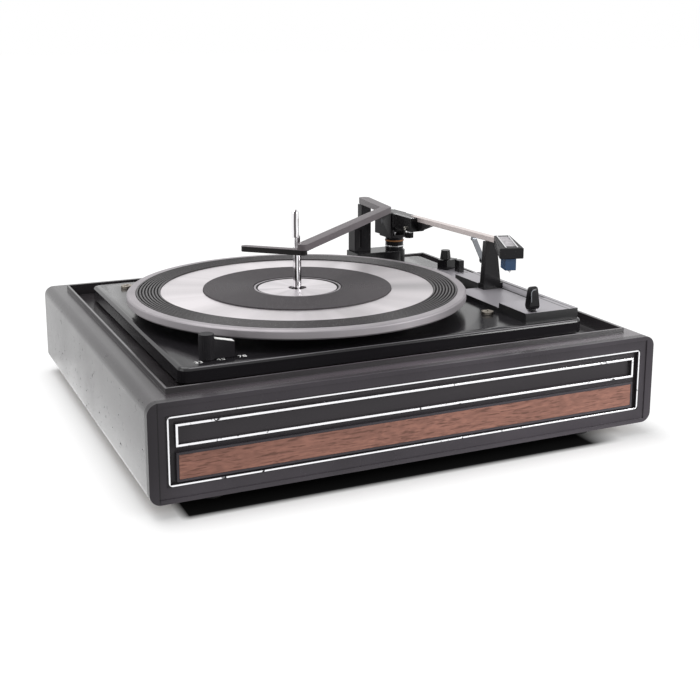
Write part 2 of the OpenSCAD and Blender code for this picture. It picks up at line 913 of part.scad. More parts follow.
module motor_rotor() {
    end_gap = 0.5;
    tail = 1;
    shaft_over = 3;
    shaft_low = stack_low - plate_t - tail;
    color([0.6, 0.6, 0.62])
        translate([motor_at.x, motor_at.y, 0]) {
            translate([0, 0, stack_low + end_gap])
                cylinder(r = rotor_r, h = stack_h - 2 * end_gap);
            translate([0, 0, shaft_low])
                cylinder(r = motor_shaft_r, h = idler_z + idler_t + shaft_over - shaft_low);
        }
}

idler_t = 4;
bracket_t = 1.5;
idler_lift = 2;
idler_z = deck_top + bracket_t + idler_lift;
idler_stud_r = 2.5;

module motor_pulley() {
    step_h = 3.2;
    pulley_low = deck_top + 1;
    radii = [pulley_r, 2.6, 2.1];
    color([0.8, 0.7, 0.4])
        translate([motor_at.x, motor_at.y, 0])
            difference() {
                for (i = [0:2])
                    translate([0, 0, pulley_low + step_h * i])
                        cylinder(r = radii[i], h = step_h);
                cylinder(r = motor_shaft_r + run, h = rim_top);
            }
}

module idler_bracket() {
    half_w = 8;
    length = 26;
    stud_over = 1.5;
    color([0.65, 0.65, 0.67])
        translate([idler_at.x, idler_at.y, deck_top])
            union() {
                cylinder(r = idler_stud_r, h = idler_z + idler_t + stud_over - deck_top);
                linear_extrude(bracket_t) {
                    circle(half_w);
                    rect(-half_w, -length, half_w, 0);
                }
            }
}

module idler_wheel() {
    boss_r = 7;
    tyre_w = 4;
    web_in = 1;
    bore = idler_stud_r + run;
    low = deck_top + bracket_t + run;
    web_r = idler_r - tyre_w;
    top = idler_z + idler_t;
    color([0.15, 0.15, 0.15])
        translate([idler_at.x, idler_at.y, 0])
            rotate_extrude()
                polygon([[bore, low], [boss_r, low], [boss_r, idler_z + web_in],
                    [web_r, idler_z + web_in], [web_r, idler_z], [idler_r, idler_z], [idler_r, top],
                    [web_r, top], [web_r, top - web_in], [bore, top - web_in]]);
}

cam_r = gear_m * cam_teeth / 2;
cam_at = on_platter(cam_angle, cam_r + gear_m * pinion_teeth / 2);
cam_stud_r = 3;

module cam_stud() {
    seat_r = 8;
    stud_over = 1;
    color([0.7, 0.7, 0.72])
        translate([cam_at.x, cam_at.y, deck_top])
            union() {
                cylinder(r = seat_r, h = hub_z - deck_top - run);
                cylinder(r = cam_stud_r, h = hub_z + gear_w + stud_over - deck_top);
            }
}

// Change gear with a cam track sunk in its top face
module cam_gear() {
    track_out = 0.72;
    track_in = 0.6;
    track_depth = 2;
    track_shift = 6;
    color([0.85, 0.82, 0.72])
        translate([cam_at.x, cam_at.y, hub_z])
            difference() {
                linear_extrude(gear_w)
                    gear_outline(cam_teeth, cam_angle + 180 + 180 / cam_teeth);
                translate([0, 0, -over])
                    cylinder(r = cam_stud_r + run, h = gear_w + 2 * over);
                translate([track_shift, 0, gear_w - track_depth])
                    difference() {
                        cylinder(r = cam_r * track_out, h = track_depth + over);
                        translate([0, 0, -over])
                            cylinder(r = cam_r * track_in, h = track_depth + 3 * over);
                    }
            }
}

lever_x = deck_right - lever_side;
lever_y = lever_end - deck_back;
lever_stem_w = 5;
lever_stem_t = 3;
lever_slot = 6.8;
lever_pin_r = 1.5;
lever_pivot_up = 3;
lever_pivot_z = deck_top + lever_pivot_up;
lever_lift = 1.4;
lever_tail = 1;
slide_t = 1.2;
slide_drop = 3;
slide_z = deck_under - slide_drop;
slide_nose = 8;
slide_l = 89.5;
slide_front = lever_y - slide_nose;
slide_back = lever_y + slide_l;
slide_w = 12;
slide_travel = 1.6;
slide_stud_r = 2;
slide_stud_at = [29.5, 74.5];
slide_stops = [for (d = slide_stud_at) lever_y + d];

module function_lever() {
    low_r = 3.5;
    high_r = 2.6;
    color([0.06, 0.06, 0.06])
        translate([lever_x, lever_y, 0])
            union() {
                hull() {
                    translate([-lever_w / 2, 0, panel_z + lever_lift + low_r])
                        rotate([0, 90, 0])
                            cylinder(r = low_r, h = lever_w, $fn = 32);
                    for (side = [-1, 1])
                        translate([side * (lever_w / 2 - high_r), 0, panel_z + lever_h - high_r])
                            sphere(high_r, $fn = 32);
                }
                box([-lever_stem_w / 2, -lever_stem_t / 2, slide_z - lever_tail],
                    [lever_stem_w / 2, lever_stem_t / 2, panel_z + lever_lift + low_r]);
                translate([-lever_w / 2, 0, lever_pivot_z])
                    rotate([0, 90, 0])
                        cylinder(r = lever_pin_r, h = lever_w);
            }
}

module slide_slot(y, r) {
    translate([lever_x, y])
        union() {
            rect(-r, -slide_travel, r, slide_travel);
            translate([0, slide_travel])
                circle(r);
            translate([0, -slide_travel])
                circle(r);
        }
}

module main_slide() {
    color([0.62, 0.62, 0.6])
        translate([0, 0, slide_z])
            linear_extrude(slide_t)
                difference() {
                    rect(lever_x - slide_w / 2, slide_front, lever_x + slide_w / 2, slide_back);
                    rect(lever_x - lever_stem_w / 2 - apart, lever_y - lever_stem_t / 2 - apart,
                        lever_x + lever_stem_w / 2 + apart, lever_y + lever_stem_t / 2 + apart);
                    for (y = slide_stops)
                        slide_slot(y, slide_stud_r + apart);
                }
}

module slide_studs() {
    head_r = 4;
    head_t = 1.2;
    head_gap = 0.2;
    low = slide_z - head_gap - head_t;
    color([0.7, 0.7, 0.72])
        for (y = slide_stops)
            translate([lever_x, y, low]) {
                cylinder(r = head_r, h = head_t);
                cylinder(r = slide_stud_r, h = deck_under - low);
            }
}

module power_switch() {
    gap = 3;
    length = 20;
    height = 12;
    color([0.2, 0.2, 0.2])
        box([lever_x - slide_w, slide_back + gap, deck_under - height],
            [lever_x + slide_w, slide_back + gap + length, deck_under]);
}

speed_x = speed_side - deck_right;
speed_y = speed_end - deck_back;
speed_shaft_r = 3;

// Ribbed hub with a sloping pointer fin
module speed_selector() {
    hub_r = 5.5;
    fin_w = 6;
    fin_low = 11.4;
    fin_high = 16;
    shaft_tail = 8;
    base = deck_top + apart;
    color([0.06, 0.06, 0.06])
        translate([speed_x, speed_y, 0])
            union() {
                translate([0, 0, base])
                    cylinder(r = hub_r, h = speed_h - apart);
                translate([0, fin_w / 2, 0])
                    rotate([90, 0, 0])
                        linear_extrude(fin_w)
                            polygon([[0, base], [speed_l, base], [speed_l, deck_top + fin_low],
                                [0, deck_top + fin_high]]);
                translate([0, 0, deck_under - shaft_tail])
                    cylinder(r = speed_shaft_r, h = shaft_tail + deck_t + over);
            }
}

tube_mid = deck_top + tube_z;
tube_low = tube_mid - tube_h / 2;
post_flange = 5;
post_top = tube_low - apart;
clip_w = 5;
clip_right = 1;
clip_back = 15.5;
clip_rise = 26.8;
clip_x = post_at.x + clip_right;
clip_y = post_at.y + clip_back;
clip_z = deck_top + clip_rise;
clip_pin_r = 1;

// Flat tapered post under the parked tube, with an ear for the clip at its back
module arm_rest_post() {
    top_w = 10.4;
    top_d = 6;
    neck_w = 17;
    neck_d = 7;
    ear_w = 3;
    ear_r = 2.6;
    ear_x = clip_w / 2 + apart;
    color([0.08, 0.08, 0.08])
        translate([post_at.x, post_at.y, 0])
            union() {
                box([-post_left, 0, pocket_z], [post_w - post_left, post_d, pocket_z + post_flange]);
                hull() {
                    translate([-post_left + apart, 0, pocket_z + post_flange - over])
                        cube([neck_w, neck_d, over]);
                    translate([-top_w / 2, 0, post_top - over])
                        cube([top_w, top_d, over]);
                }
                translate([clip_x - post_at.x + ear_x, 0, 0]) {
                    box([0, neck_d / 2, clip_z - ear_r], [ear_w, clip_y - post_at.y, clip_z + ear_r]);
                    translate([0, clip_y - post_at.y, clip_z])
                        rotate([0, 90, 0])
                            cylinder(r = ear_r, h = ear_w);
                    translate([-clip_w - 2 * apart, clip_y - post_at.y, clip_z])
                        rotate([0, 90, 0])
                            cylinder(r = clip_pin_r, h = ear_w + 2 * apart + clip_w);
                }
            }
}

// Sprung blade that leans up under the tube, with a rolled hook at its tip
module rest_clip() {
    knuckle_r = 2.2;
    blade_t = 1.2;
    lean = 44;
    hook_r = 1.6;
    length = (post_top - hook_r - clip_z) / cos(lean) - hook_r;
    color([0.12, 0.12, 0.13])
        translate([clip_x - clip_w / 2, clip_y, clip_z])
            difference() {
                rotate([-lean, 0, 0])
                    union() {
                        rotate([0, 90, 0])
                            cylinder(r = knuckle_r, h = clip_w);
                        translate([0, -blade_t / 2, 0])
                            cube([clip_w, blade_t, length]);
                        translate([0, 0, length])
                            rotate([0, 90, 0])
                                cylinder(r = hook_r, h = clip_w);
                    }
                translate([-over, 0, 0])
                    rotate([0, 90, 0])
                        cylinder(r = clip_pin_r + run, h = clip_w + 2 * over);
            }
}

column_x = pivot_x - column_away;
column_y = deck_back - column_end;
column_left = column_x - column_w / 2;
column_right = column_x + column_w / 2;
column_front = column_y - column_d / 2;
base_h = 12.5;
base_top = deck_top + base_h;
base_r = 10.5;
spigot_tail = 2;
pillar_spigot_r = 5;
pillar_pin_r = 3.4;
yoke_low = deck_top + 25.3;
yoke_t = 2.5;
yoke_front = -9.5;
yoke_back = 12;
cheek_t = 2.4;
axis_y = 8;
axis_z = deck_top + 40;
axle_r = 1.5;
axle_reach = 4;
axle_head_r = 2.6;
axle_head_t = 1.2;
housing_top = tube_mid + 1.6;
housing_low = housing_top - 17.1;
nose_low = housing_top - 13.1;
nose_back = yoke_front - 2.5;
cheek_room = 0.4;
body_left = -housing_left + cheek_t + cheek_room;
yoke_right = housing_right + cheek_room;
tube_seat = 12;
tube_end = 8;
rod_r = 1.6;
rod_rise = 3;
rod_room = 0.6;
rod_tail = 8;
rod_top = housing_low - rod_rise - rod_room;
shaft_r = 3.6;
shaft_pin_r = 2.4;
shaft_tail = 45;

// Arm frame: vertical pivot at the origin, tube towards -Y
module on_arm() {
    translate([pivot_x, pivot_y, 0])
        rotate(park_angle)
            children();
}

// Headshell frame at the end of the tube
module on_shell() {
    on_arm()
        translate([0, -tube_reach, tube_mid])
            rotate(-shell_angle)
                children();
}

module arm_base() {
    side = 2;
    color([0.07, 0.07, 0.07])
        difference() {
            translate([0, 0, deck_top])
                linear_extrude(base_h)
                    union() {
                        rect(column_left - side, pivot_y - base_r, pivot_x, column_y + column_d / 2);
                        translate([pivot_x, pivot_y])
                            circle(base_r);
                    }
            translate([pivot_x, pivot_y, deck_top - over])
                cylinder(r = pillar_spigot_r + slip, h = base_h + 2 * over);
        }
}

// Hollow turret: the lift rod runs up its bore and the yoke turns on its pin
module arm_pillar() {
    turret_r = 8.9;
    bore = rod_r + run;
    color([0.2, 0.2, 0.2])
        translate([pivot_x, pivot_y, 0])
            rotate_extrude()
                polygon([[bore, deck_under - spigot_tail], [pillar_spigot_r, deck_under - spigot_tail],
                    [pillar_spigot_r, base_top], [turret_r, base_top], [turret_r, yoke_low - run],
                    [pillar_pin_r, yoke_low - run], [pillar_pin_r, yoke_low + yoke_t],
                    [bore, yoke_low + yoke_t]]);
}

// Stirrup that turns on the pillar and carries the arm between its cheeks
module arm_yoke() {
    tail = 21;
    cheek_top = housing_top - 0.4;
    color([0.16, 0.16, 0.17])
        on_arm()
            difference() {
                union() {
                    box([-housing_left, yoke_front, yoke_low],
                        [yoke_right + cheek_t, yoke_back, yoke_low + yoke_t]);
                    box([-housing_left, yoke_front, yoke_low + yoke_t - over],
                        [-housing_left + cheek_t, tail, cheek_top]);
                    box([yoke_right, yoke_front, yoke_low + yoke_t - over],
                        [yoke_right + cheek_t, yoke_back, cheek_top]);
                }
                translate([0, 0, yoke_low - over])
                    cylinder(r = pillar_pin_r + run, h = yoke_t + 2 * over);
                axle_line()
                    cylinder(r = axle_r + slip, h = axle_span + 2 * over);
                axle_line()
                    cylinder(r = axle_head_r + slip, h = axle_head_t + over);
                axle_line()
                    translate([0, 0, axle_span + over - axle_head_t])
                        cylinder(r = axle_head_r + slip, h = axle_head_t + over);
            }
}

axle_span = housing_left + yoke_right + cheek_t;

// Frame on the lift axis, starting just outside the left cheek
module axle_line() {
    translate([-housing_left - over, axis_y, axis_z])
        rotate([0, 90, 0])
            children();
}

module pivot_screws() {
    color([0.75, 0.75, 0.77])
        on_arm() {
            axle_line()
                translate([0, 0, over]) {
                    cylinder(r = axle_head_r, h = axle_head_t);
                    cylinder(r = axle_r, h = cheek_t + cheek_room + axle_reach);
                }
            axle_line()
                translate([0, 0, over + axle_span]) {
                    translate([0, 0, -axle_head_t])
                        cylinder(r = axle_head_r, h = axle_head_t);
                    translate([0, 0, -cheek_t - cheek_room - axle_reach])
                        cylinder(r = axle_r, h = cheek_t + cheek_room + axle_reach);
                }
        }
}

// Arm housing: a body between the cheeks, a broad nose and a wedge under the tube
module arm_housing() {
    wedge = 23;
    color([0.09, 0.09, 0.1])
        on_arm()
            difference() {
                union() {
                    box([-housing_left, -housing_l, nose_low], [housing_right, nose_back, housing_top]);
                    box([body_left, nose_back - over, housing_low],
                        [housing_right, yoke_back, housing_top]);
                    translate([tube_w / 2, 0, 0])
                        rotate([90, 0, -90])
                            linear_extrude(tube_w)
                                polygon([[housing_l - over, nose_low], [housing_l + wedge, tube_low],
                                    [housing_l - over, tube_low]]);
                }
                tube_envelope(slip);
                translate([body_left - over, axis_y, axis_z])
                    rotate([0, 90, 0])
                        cylinder(r = axle_r + run, h = axle_reach + apart + over);
                translate([housing_right - axle_reach - apart, axis_y, axis_z])
                    rotate([0, 90, 0])
                        cylinder(r = axle_r + run, h = axle_reach + apart + over);
            }
}

// Outside of the tube, grown by a clearance
module tube_envelope(grow) {
    box([-tube_w / 2 - grow, -tube_reach - tube_end - grow, tube_low - grow],
        [tube_w / 2 + grow, -housing_l + tube_seat + grow, tube_low + tube_h + grow]);
}

module arm_tube() {
    wall = 0.8;
    color([0.73, 0.7, 0.67])
        on_arm()
            difference() {
                tube_envelope(0);
                box([-tube_w / 2 + wall, -tube_reach - tube_end - over, tube_low + wall],
                    [tube_w / 2 - wall, -housing_l + tube_seat + over, tube_low + tube_h - wall]);
            }
}

module counterweight() {
    inset = 0.5;
    color([0.14, 0.14, 0.15])
        on_arm()
            box([body_left + inset, yoke_back, housing_low + inset],
                [housing_right - inset, weight_l, housing_top - inset]);
}

shell_rise = 5.3;
shell_fall = 0.1;
shell_front_h = 9;
shell_slope = atan2(shell_rise + shell_fall, shell_l);
shell_wall = 2;
shell_roof = 3.4;
cartridge_front = shell_l - 3;
cartridge_top = -9.5;
cartridge_h = 10;

// Underside of the headshell roof at a distance from the tube
function roof_low(d) = shell_rise - d * tan(shell_slope) - shell_roof;

// Plan of the headshell, wider in front, drawn inwards by a margin
module shell_plan(margin) {
    polygon([[-shell_tail_w / 2 + margin, 0], [-shell_w / 2 + margin, margin - shell_l],
        [shell_w / 2 - margin, margin - shell_l], [shell_tail_w / 2 - margin, 0]]);
}

// Open-bottomed shell that slopes down to a flat front
module headshell() {
    tail_low = -5;
    tail_l = 8;
    chin = 4;
    hollow_from = 13;
    color([0.1, 0.1, 0.11])
        difference() {
            on_shell()
                difference() {
                    intersection() {
                        translate([0, 0, -shell_l])
                            linear_extrude(2 * shell_l)
                                shell_plan(0);
                        translate([shell_l, 0, 0])
                            rotate([90, 0, -90])
                                linear_extrude(2 * shell_l)
                                    polygon([[0, shell_rise], [shell_l, -shell_fall],
                                        [shell_l, -shell_fall - shell_front_h],
                                        [shell_l - chin, -shell_fall - shell_front_h], [tail_l, tail_low],
                                        [0, tail_low]]);
                    }
                    intersection() {
                        translate([0, 0, -shell_l])
                            linear_extrude(2 * shell_l)
                                shell_plan(shell_wall);
                        translate([shell_l, 0, 0])
                            rotate([90, 0, -90])
                                linear_extrude(2 * shell_l)
                                    polygon([[hollow_from, roof_low(hollow_from)],
                                        [shell_l, roof_low(shell_l)], [shell_l, -shell_l],
                                        [hollow_from, -shell_l]]);
                    }
                }
            on_arm()
                tube_envelope(slip);
        }
}

// Two bright ridges along the top of the headshell
module headshell_trim() {
    ridge_w = 1.2;
    ridge_h = 0.8;
    ridge_end = 1;
    color([0.85, 0.85, 0.87])
        on_shell()
            for (x = [-5.6, 4.4])
                translate([x, 0, shell_rise])
                    rotate([shell_slope, 0, 0])
                        translate([0, ridge_end - shell_l, 0])
                            cube([ridge_w, shell_l - 2 * ridge_end, ridge_h]);
}

module cartridge() {
    body_w = 9.6;
    body_l = 14;
    stem_in = 5;
    stem_front = cartridge_front - stem_in;
    stem_back = cartridge_front - body_l;
    color([0.2, 0.35, 0.55])
        on_shell()
            union() {
                box([-body_w / 2, -cartridge_front, cartridge_top - cartridge_h],
                    [body_w / 2, -stem_back, cartridge_top]);
                translate([body_w / 4, 0, 0])
                    rotate([90, 0, -90])
                        linear_extrude(body_w / 2)
                            polygon([[stem_back, cartridge_top - over],
                                [stem_front, cartridge_top - over], [stem_front, roof_low(stem_front)],
                                [stem_back, roof_low(stem_back)]]);
            }
}

module stylus() {
    bar_w = 2;
    bar_t = 1.2;
    bar_l = 10;
    tip_h = 1.4;
    bar_top = cartridge_top - cartridge_h;
    color([0.8, 0.8, 0.8])
        on_shell()
            translate([0, 2 - cartridge_front, bar_top - bar_t]) {
                box([-bar_w / 2, 0, 0], [bar_w / 2, bar_l, bar_t]);
                translate([0, over, -tip_h])
                    cylinder(r1 = 0.1, r2 = 0.5, h = tip_h);
            }
}

module lift_rod() {
    color([0.75, 0.75, 0.77])
        translate([pivot_x, pivot_y, deck_under - rod_tail])
            cylinder(r = rod_r, h = rod_top - deck_under + rod_tail);
}

// Neck of the column round the rising shaft, at its right front
neck_w = 10.1;
neck_d = 9.5;
shaft_at = [column_right - neck_w / 2, column_front + neck_d / 2];
steady_low = deck_top + steady_z;
bend_left = 3.1;
bend_ahead = 64;
steady_bend = [column_x - bend_left, column_y - bend_ahead];
steady_elbow = [platter_x - 1.9, platter_y - 17.4];
steady_tip = [platter_x - 38.9, platter_y + 16.9];
elbow_drop = 8.7;
tip_drop = 12.4;
pin_cover = 1;

// Post with a sloping shoulder and a neck that the shaft rises from
module overarm_column() {
    groove_w = 2;
    groove_depth = 1.2;
    groove_end = 4;
    groove_left = column_left + 5;
    shoulder_low = base_top + 25.8;
    shoulder_rise = 6.5;
    color([0.1, 0.1, 0.11])
        difference() {
            union() {
                translate([0, column_y + column_d / 2, 0])
                    rotate([90, 0, 0])
                        linear_extrude(column_d)
                            polygon([[column_left, base_top], [column_right, base_top],
                                [column_right, shoulder_low + shoulder_rise],
                                [column_left, shoulder_low]]);
                box([column_right - neck_w, column_front, base_top],
                    [column_right, column_front + neck_d, steady_low - over]);
            }
            translate([shaft_at.x, shaft_at.y, base_top - over])
                cylinder(r = shaft_r + run, h = steady_low);
            box([groove_left, column_front - over, base_top + groove_end],
                [groove_left + groove_w, column_front + groove_depth, shoulder_low - groove_end]);
        }
}

module overarm_shaft() {
    color([0.75, 0.75, 0.77])
        translate([shaft_at.x, shaft_at.y, 0])
            union() {
                translate([0, 0, steady_low - shaft_tail - run])
                    cylinder(r = shaft_r, h = shaft_tail);
                translate([0, 0, steady_low - over])
                    cylinder(r = shaft_pin_r, h = over + steady_t - pin_cover);
            }
}

// One rounded end of a steady arm leg
module leg_end(p, z, r, h) {
    translate([p.x, p.y, z])
        cylinder(r = r, h = h, $fn = 32);
}

// Bent steady arm: level first leg, falling second leg, thin pressing leg under its end
module overarm() {
    half = steady_w / 2;
    tip_half = 3.6;
    tip_t = 4.5;
    boss_r = 5.3;
    color([0.39, 0.37, 0.38])
        difference() {
            union() {
                hull() {
                    leg_end(shaft_at, steady_low, boss_r, steady_t);
                    leg_end(steady_bend, steady_low, half, steady_t);
                }
                hull() {
                    leg_end(steady_bend, steady_low, half, steady_t);
                    leg_end(steady_elbow, steady_low - elbow_drop, half, steady_t);
                }
                hull() {
                    leg_end(steady_elbow, steady_low - tip_drop, tip_half, tip_t);
                    leg_end(steady_tip, steady_low - tip_drop, tip_half, tip_t);
                }
            }
            translate([shaft_at.x, shaft_at.y, steady_low - over])
                cylinder(r = shaft_pin_r + run, h = over + steady_t - pin_cover + apart);
        }
}

cue_side = 16.3;
cue_end = 13.2;
cue_x = panel_right - cue_side;
cue_y = rear_back - cue_end;
cue_turn = 25;
cue_w = 17;
cue_d = 11;
cue_h = 8.9;
cue_top = pocket_z + cue_h;
cue_knob_x = 5.2;
cue_pin_up = 2.5;
cue_pin_z = pocket_z + cue_pin_up;
cue_pin_r = 1;
cue_pin_l = 7.6;
cue_lift = 0.8;
cue_stem_w = 3.2;
cue_stem_d = 2.4;

module on_cue() {
    translate([cue_x, cue_y, 0])
        rotate(cue_turn)
            children();
}

module cue_box() {
    block_w = 5.3;
    block_d = 8;
    block_h = 11;
    block_at = [5.8, -12.8];
    floor_t = 0.8;
    slot_half = 3;
    stem_room = 0.4;
    color([0.08, 0.08, 0.08])
        union() {
            on_cue()
                difference() {
                    box([0, 0, pocket_z], [cue_w, cue_d, cue_top]);
                    translate([cue_knob_x, cue_d / 2, 0])
                        box([-cue_stem_w / 2 - stem_room, -slot_half, pocket_z + floor_t],
                            [cue_stem_w / 2 + stem_room, slot_half, cue_top + over]);
                    translate([cue_knob_x - cue_pin_l / 2 - slip, cue_d / 2, cue_pin_z])
                        rotate([0, 90, 0])
                            cylinder(r = cue_pin_r + run, h = cue_pin_l + 2 * slip);
                }
            translate([cue_x + block_at.x, cue_y + block_at.y, pocket_z])
                cube([block_w, block_d, block_h]);
        }
}

module cue_knob() {
    knob_low = 5.2;
    knob_top = 4.1;
    knob_h = 8.5;
    color([0.06, 0.06, 0.06])
        on_cue()
            translate([cue_knob_x, cue_d / 2, 0])
                union() {
                    translate([0, 0, cue_top + cue_lift])
                        cylinder(r1 = knob_low, r2 = knob_top, h = knob_h);
                    box([-cue_stem_w / 2, -cue_stem_d / 2, cue_pin_z],
                        [cue_stem_w / 2, cue_stem_d / 2, cue_top + cue_lift + over]);
                    translate([-cue_pin_l / 2, 0, cue_pin_z])
                        rotate([0, 90, 0])
                            cylinder(r = cue_pin_r, h = cue_pin_l);
                }
}

plinth_shell();
fascia();
fascia_trim();
wood_strip();
base_board();
feet();
foot_screws();
lead_grommet();
deck_plate();
suspension_springs();
transit_screws();
control_panel();
arm_rest_post();
rest_clip();
bearing_tube();
thrust_race();
platter();
platter_ring();
outer_mat();
inner_mat();
centre_disc();
spindle();
spindle_pusher();
motor_stator();
motor_coil();
motor_plates();
motor_grommets();
motor_rotor();
motor_pulley();
idler_bracket();
idler_wheel();
cam_stud();
cam_gear();
main_slide();
slide_studs();
power_switch();
arm_base();
arm_pillar();
arm_yoke();
pivot_screws();
arm_housing();
arm_tube();
counterweight();
headshell();
headshell_trim();
cartridge();
stylus();
lift_rod();
overarm_column();
overarm_shaft();
overarm();
function_lever();
cue_box();
cue_knob();
speed_selector();
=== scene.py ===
import json
import math
import bmesh
import bpy
from mathutils import Matrix, Vector


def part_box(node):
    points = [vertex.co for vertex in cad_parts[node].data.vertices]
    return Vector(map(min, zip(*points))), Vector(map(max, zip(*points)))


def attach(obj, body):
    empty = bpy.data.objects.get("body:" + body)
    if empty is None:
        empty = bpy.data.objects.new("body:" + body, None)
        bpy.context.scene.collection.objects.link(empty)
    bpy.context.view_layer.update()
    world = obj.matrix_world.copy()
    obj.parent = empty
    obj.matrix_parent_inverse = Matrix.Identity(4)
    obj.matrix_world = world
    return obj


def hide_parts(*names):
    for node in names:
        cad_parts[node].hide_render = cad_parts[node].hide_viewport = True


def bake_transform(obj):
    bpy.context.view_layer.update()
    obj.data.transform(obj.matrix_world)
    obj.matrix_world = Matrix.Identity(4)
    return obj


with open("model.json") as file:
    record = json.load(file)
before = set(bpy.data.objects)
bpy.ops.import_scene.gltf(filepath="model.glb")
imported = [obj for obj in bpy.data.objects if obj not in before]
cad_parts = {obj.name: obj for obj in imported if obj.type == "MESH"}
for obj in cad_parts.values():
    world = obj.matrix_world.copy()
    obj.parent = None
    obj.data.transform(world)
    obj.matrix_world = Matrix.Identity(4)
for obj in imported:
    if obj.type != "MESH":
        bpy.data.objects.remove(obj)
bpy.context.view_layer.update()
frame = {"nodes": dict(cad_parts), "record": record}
scene = bpy.context.scene
scene.view_settings.view_transform = "Standard"

# Studio
# A white paper floor in a white room, a broad lamp overhead, a near lamp at the right front
# and a weak one at the left, and a long lens at the height of a seated person's eyes.
IMAGE = 700
FOCAL_PX = 1132.5
CENTRE_PX = (343.5, 266.0)
SENSOR_MM = 36
CAMERA_AT = (-0.37017, -0.86199, 0.31605)
CAMERA_YAW = 0.4240
CAMERA_PITCH = 0.2086

camera_data = bpy.data.cameras.new("camera")
camera_data.sensor_width = SENSOR_MM
camera_data.lens = FOCAL_PX * SENSOR_MM / IMAGE
camera_data.shift_x = (IMAGE / 2 - CENTRE_PX[0]) / IMAGE
camera_data.shift_y = (CENTRE_PX[1] - IMAGE / 2) / IMAGE
camera = bpy.data.objects.new("camera", camera_data)
camera.location = CAMERA_AT
camera.rotation_euler = (math.pi / 2 - CAMERA_PITCH, 0, -CAMERA_YAW)
scene.collection.objects.link(camera)
scene.camera = camera


class Value:
    """One number socket of a shader tree, ready for Python's operators."""

    def __init__(self, owner, socket):
        self.owner = owner
        self.socket = socket

    def join(self, operation, first, second):
        return self.owner.node("Math", {0: first, 1: second}, operation=operation)

    def __add__(self, other):
        return self.join("ADD", self, other)

    def __sub__(self, other):
        return self.join("SUBTRACT", self, other)

    def __rsub__(self, other):
        return self.join("SUBTRACT", other, self)

    def __mul__(self, other):
        return self.join("MULTIPLY", self, other)

    def __pow__(self, other):
        return self.join("POWER", self, other)

    def sine(self):
        return self.join("SINE", self, 0.0)

    def size(self):
        return self.join("ABSOLUTE", self, 0.0)

    def larger(self, other):
        return self.join("MAXIMUM", self, other)


class Nodes:
    """A shader tree whose nodes all come from the method node."""

    def __init__(self, tree):
        self.tree = tree

    def put(self, socket, value):
        if isinstance(value, Value):
            self.tree.links.new(value.socket, socket)
        elif socket.type == "RGBA":
            socket.default_value = (*value, 1.0)
        else:
            socket.default_value = value

    def node(self, kind, sockets, output=0, **settings):
        made = self.tree.nodes.new("ShaderNode" + kind)
        for name, value in settings.items():
            setattr(made, name, value)
        for name, value in sockets.items():
            self.put(made.inputs[name], value)
        return Value(self, made.outputs[output])

    def rays(self):
        """The paths that meet plain white: straight to the camera, mirrored, and through glass."""
        kinds = ("Camera", "Glossy", "Transmission")
        return [self.node("LightPath", {}, "Is %s Ray" % kind) for kind in kinds]


class Finish(Nodes):
    """One material. Its methods are short forms of node for what recurs in finishes."""

    def __init__(self, name, **sockets):
        self.material = bpy.data.materials.new(name)
        self.material.use_nodes = True
        super().__init__(self.material.node_tree)
        self.shader = self.tree.nodes["Principled BSDF"]
        self.paint(**sockets)

    def paint(self, **sockets):
        for name, value in sockets.items():
            self.put(self.shader.inputs[name.replace("_", " ")], value)

    def place(self, at=(0, 0, 0), turn=(0, 0, 0), stretch=(1, 1, 1)):
        spot = self.node("TexCoord", {}, "Object")
        return self.node("Mapping", {"Vector": spot, "Location": at, "Rotation": turn, "Scale": stretch})

    def axes(self, vector=None):
        vector = vector or self.place()
        return [self.node("SeparateXYZ", {"Vector": vector}, axis) for axis in "XYZ"]

    def about(self, centre):
        """The distance from an upright axis and the angle round it."""
        across, along, _ = self.axes(self.place(at=(-centre.x, -centre.y, 0)))
        angle = self.node("Math", {0: along, 1: across}, operation="ARCTAN2")
        return (across * across + along * along) ** 0.5, angle

    def upward(self, low, high):
        """1 on faces that look up, 0 on those that lean further than low."""
        normal = self.node("NewGeometry", {}, "Normal")
        return self.ramp(self.node("SeparateXYZ", {"Vector": normal}, "Z"), low, high)

    def noise(self, scale, detail=3.0, vector=None, twist=0.0):
        return self.node("TexNoise", {"Vector": vector or self.place(), "Scale": scale, "Detail": detail,
                                      "Distortion": twist})

    def ramp(self, value, low, high):
        return self.node("MapRange", {"Value": value, "From Min": low, "From Max": high})

    def band(self, value, middle, half, soft):
        return 1 - self.ramp((value - middle).size(), half, half + soft)

    def mix(self, factor, first, second):
        return self.node("Mix", {0: factor, 6: first, 7: second}, 2, data_type="RGBA")

    def bump(self, height, distance, strength=1.0):
        return self.node("Bump", {"Height": height, "Distance": distance, "Strength": strength})


ROOM_LIGHT = 0.42
world = bpy.data.worlds.new("white_room")
world.use_nodes = True
room = Nodes(world.node_tree)
straight, mirrored, through = room.rays()
background = room.tree.nodes["Background"]
room.put(background.inputs["Color"], (1, 1, 1))
room.put(background.inputs["Strength"], room.node("MapRange", {
    "Value": straight + mirrored + through, "To Min": ROOM_LIGHT, "To Max": 1.0}))
scene.world = world


def lamp(name, at, aim, width, height, power):
    data = bpy.data.lights.new(name, "AREA")
    data.shape = "RECTANGLE"
    data.size = width
    data.size_y = height
    data.energy = power
    made = bpy.data.objects.new(name, data)
    made.location = at
    made.rotation_euler = (Vector(aim) - Vector(at)).to_track_quat("-Z", "Y").to_euler()
    scene.collection.objects.link(made)


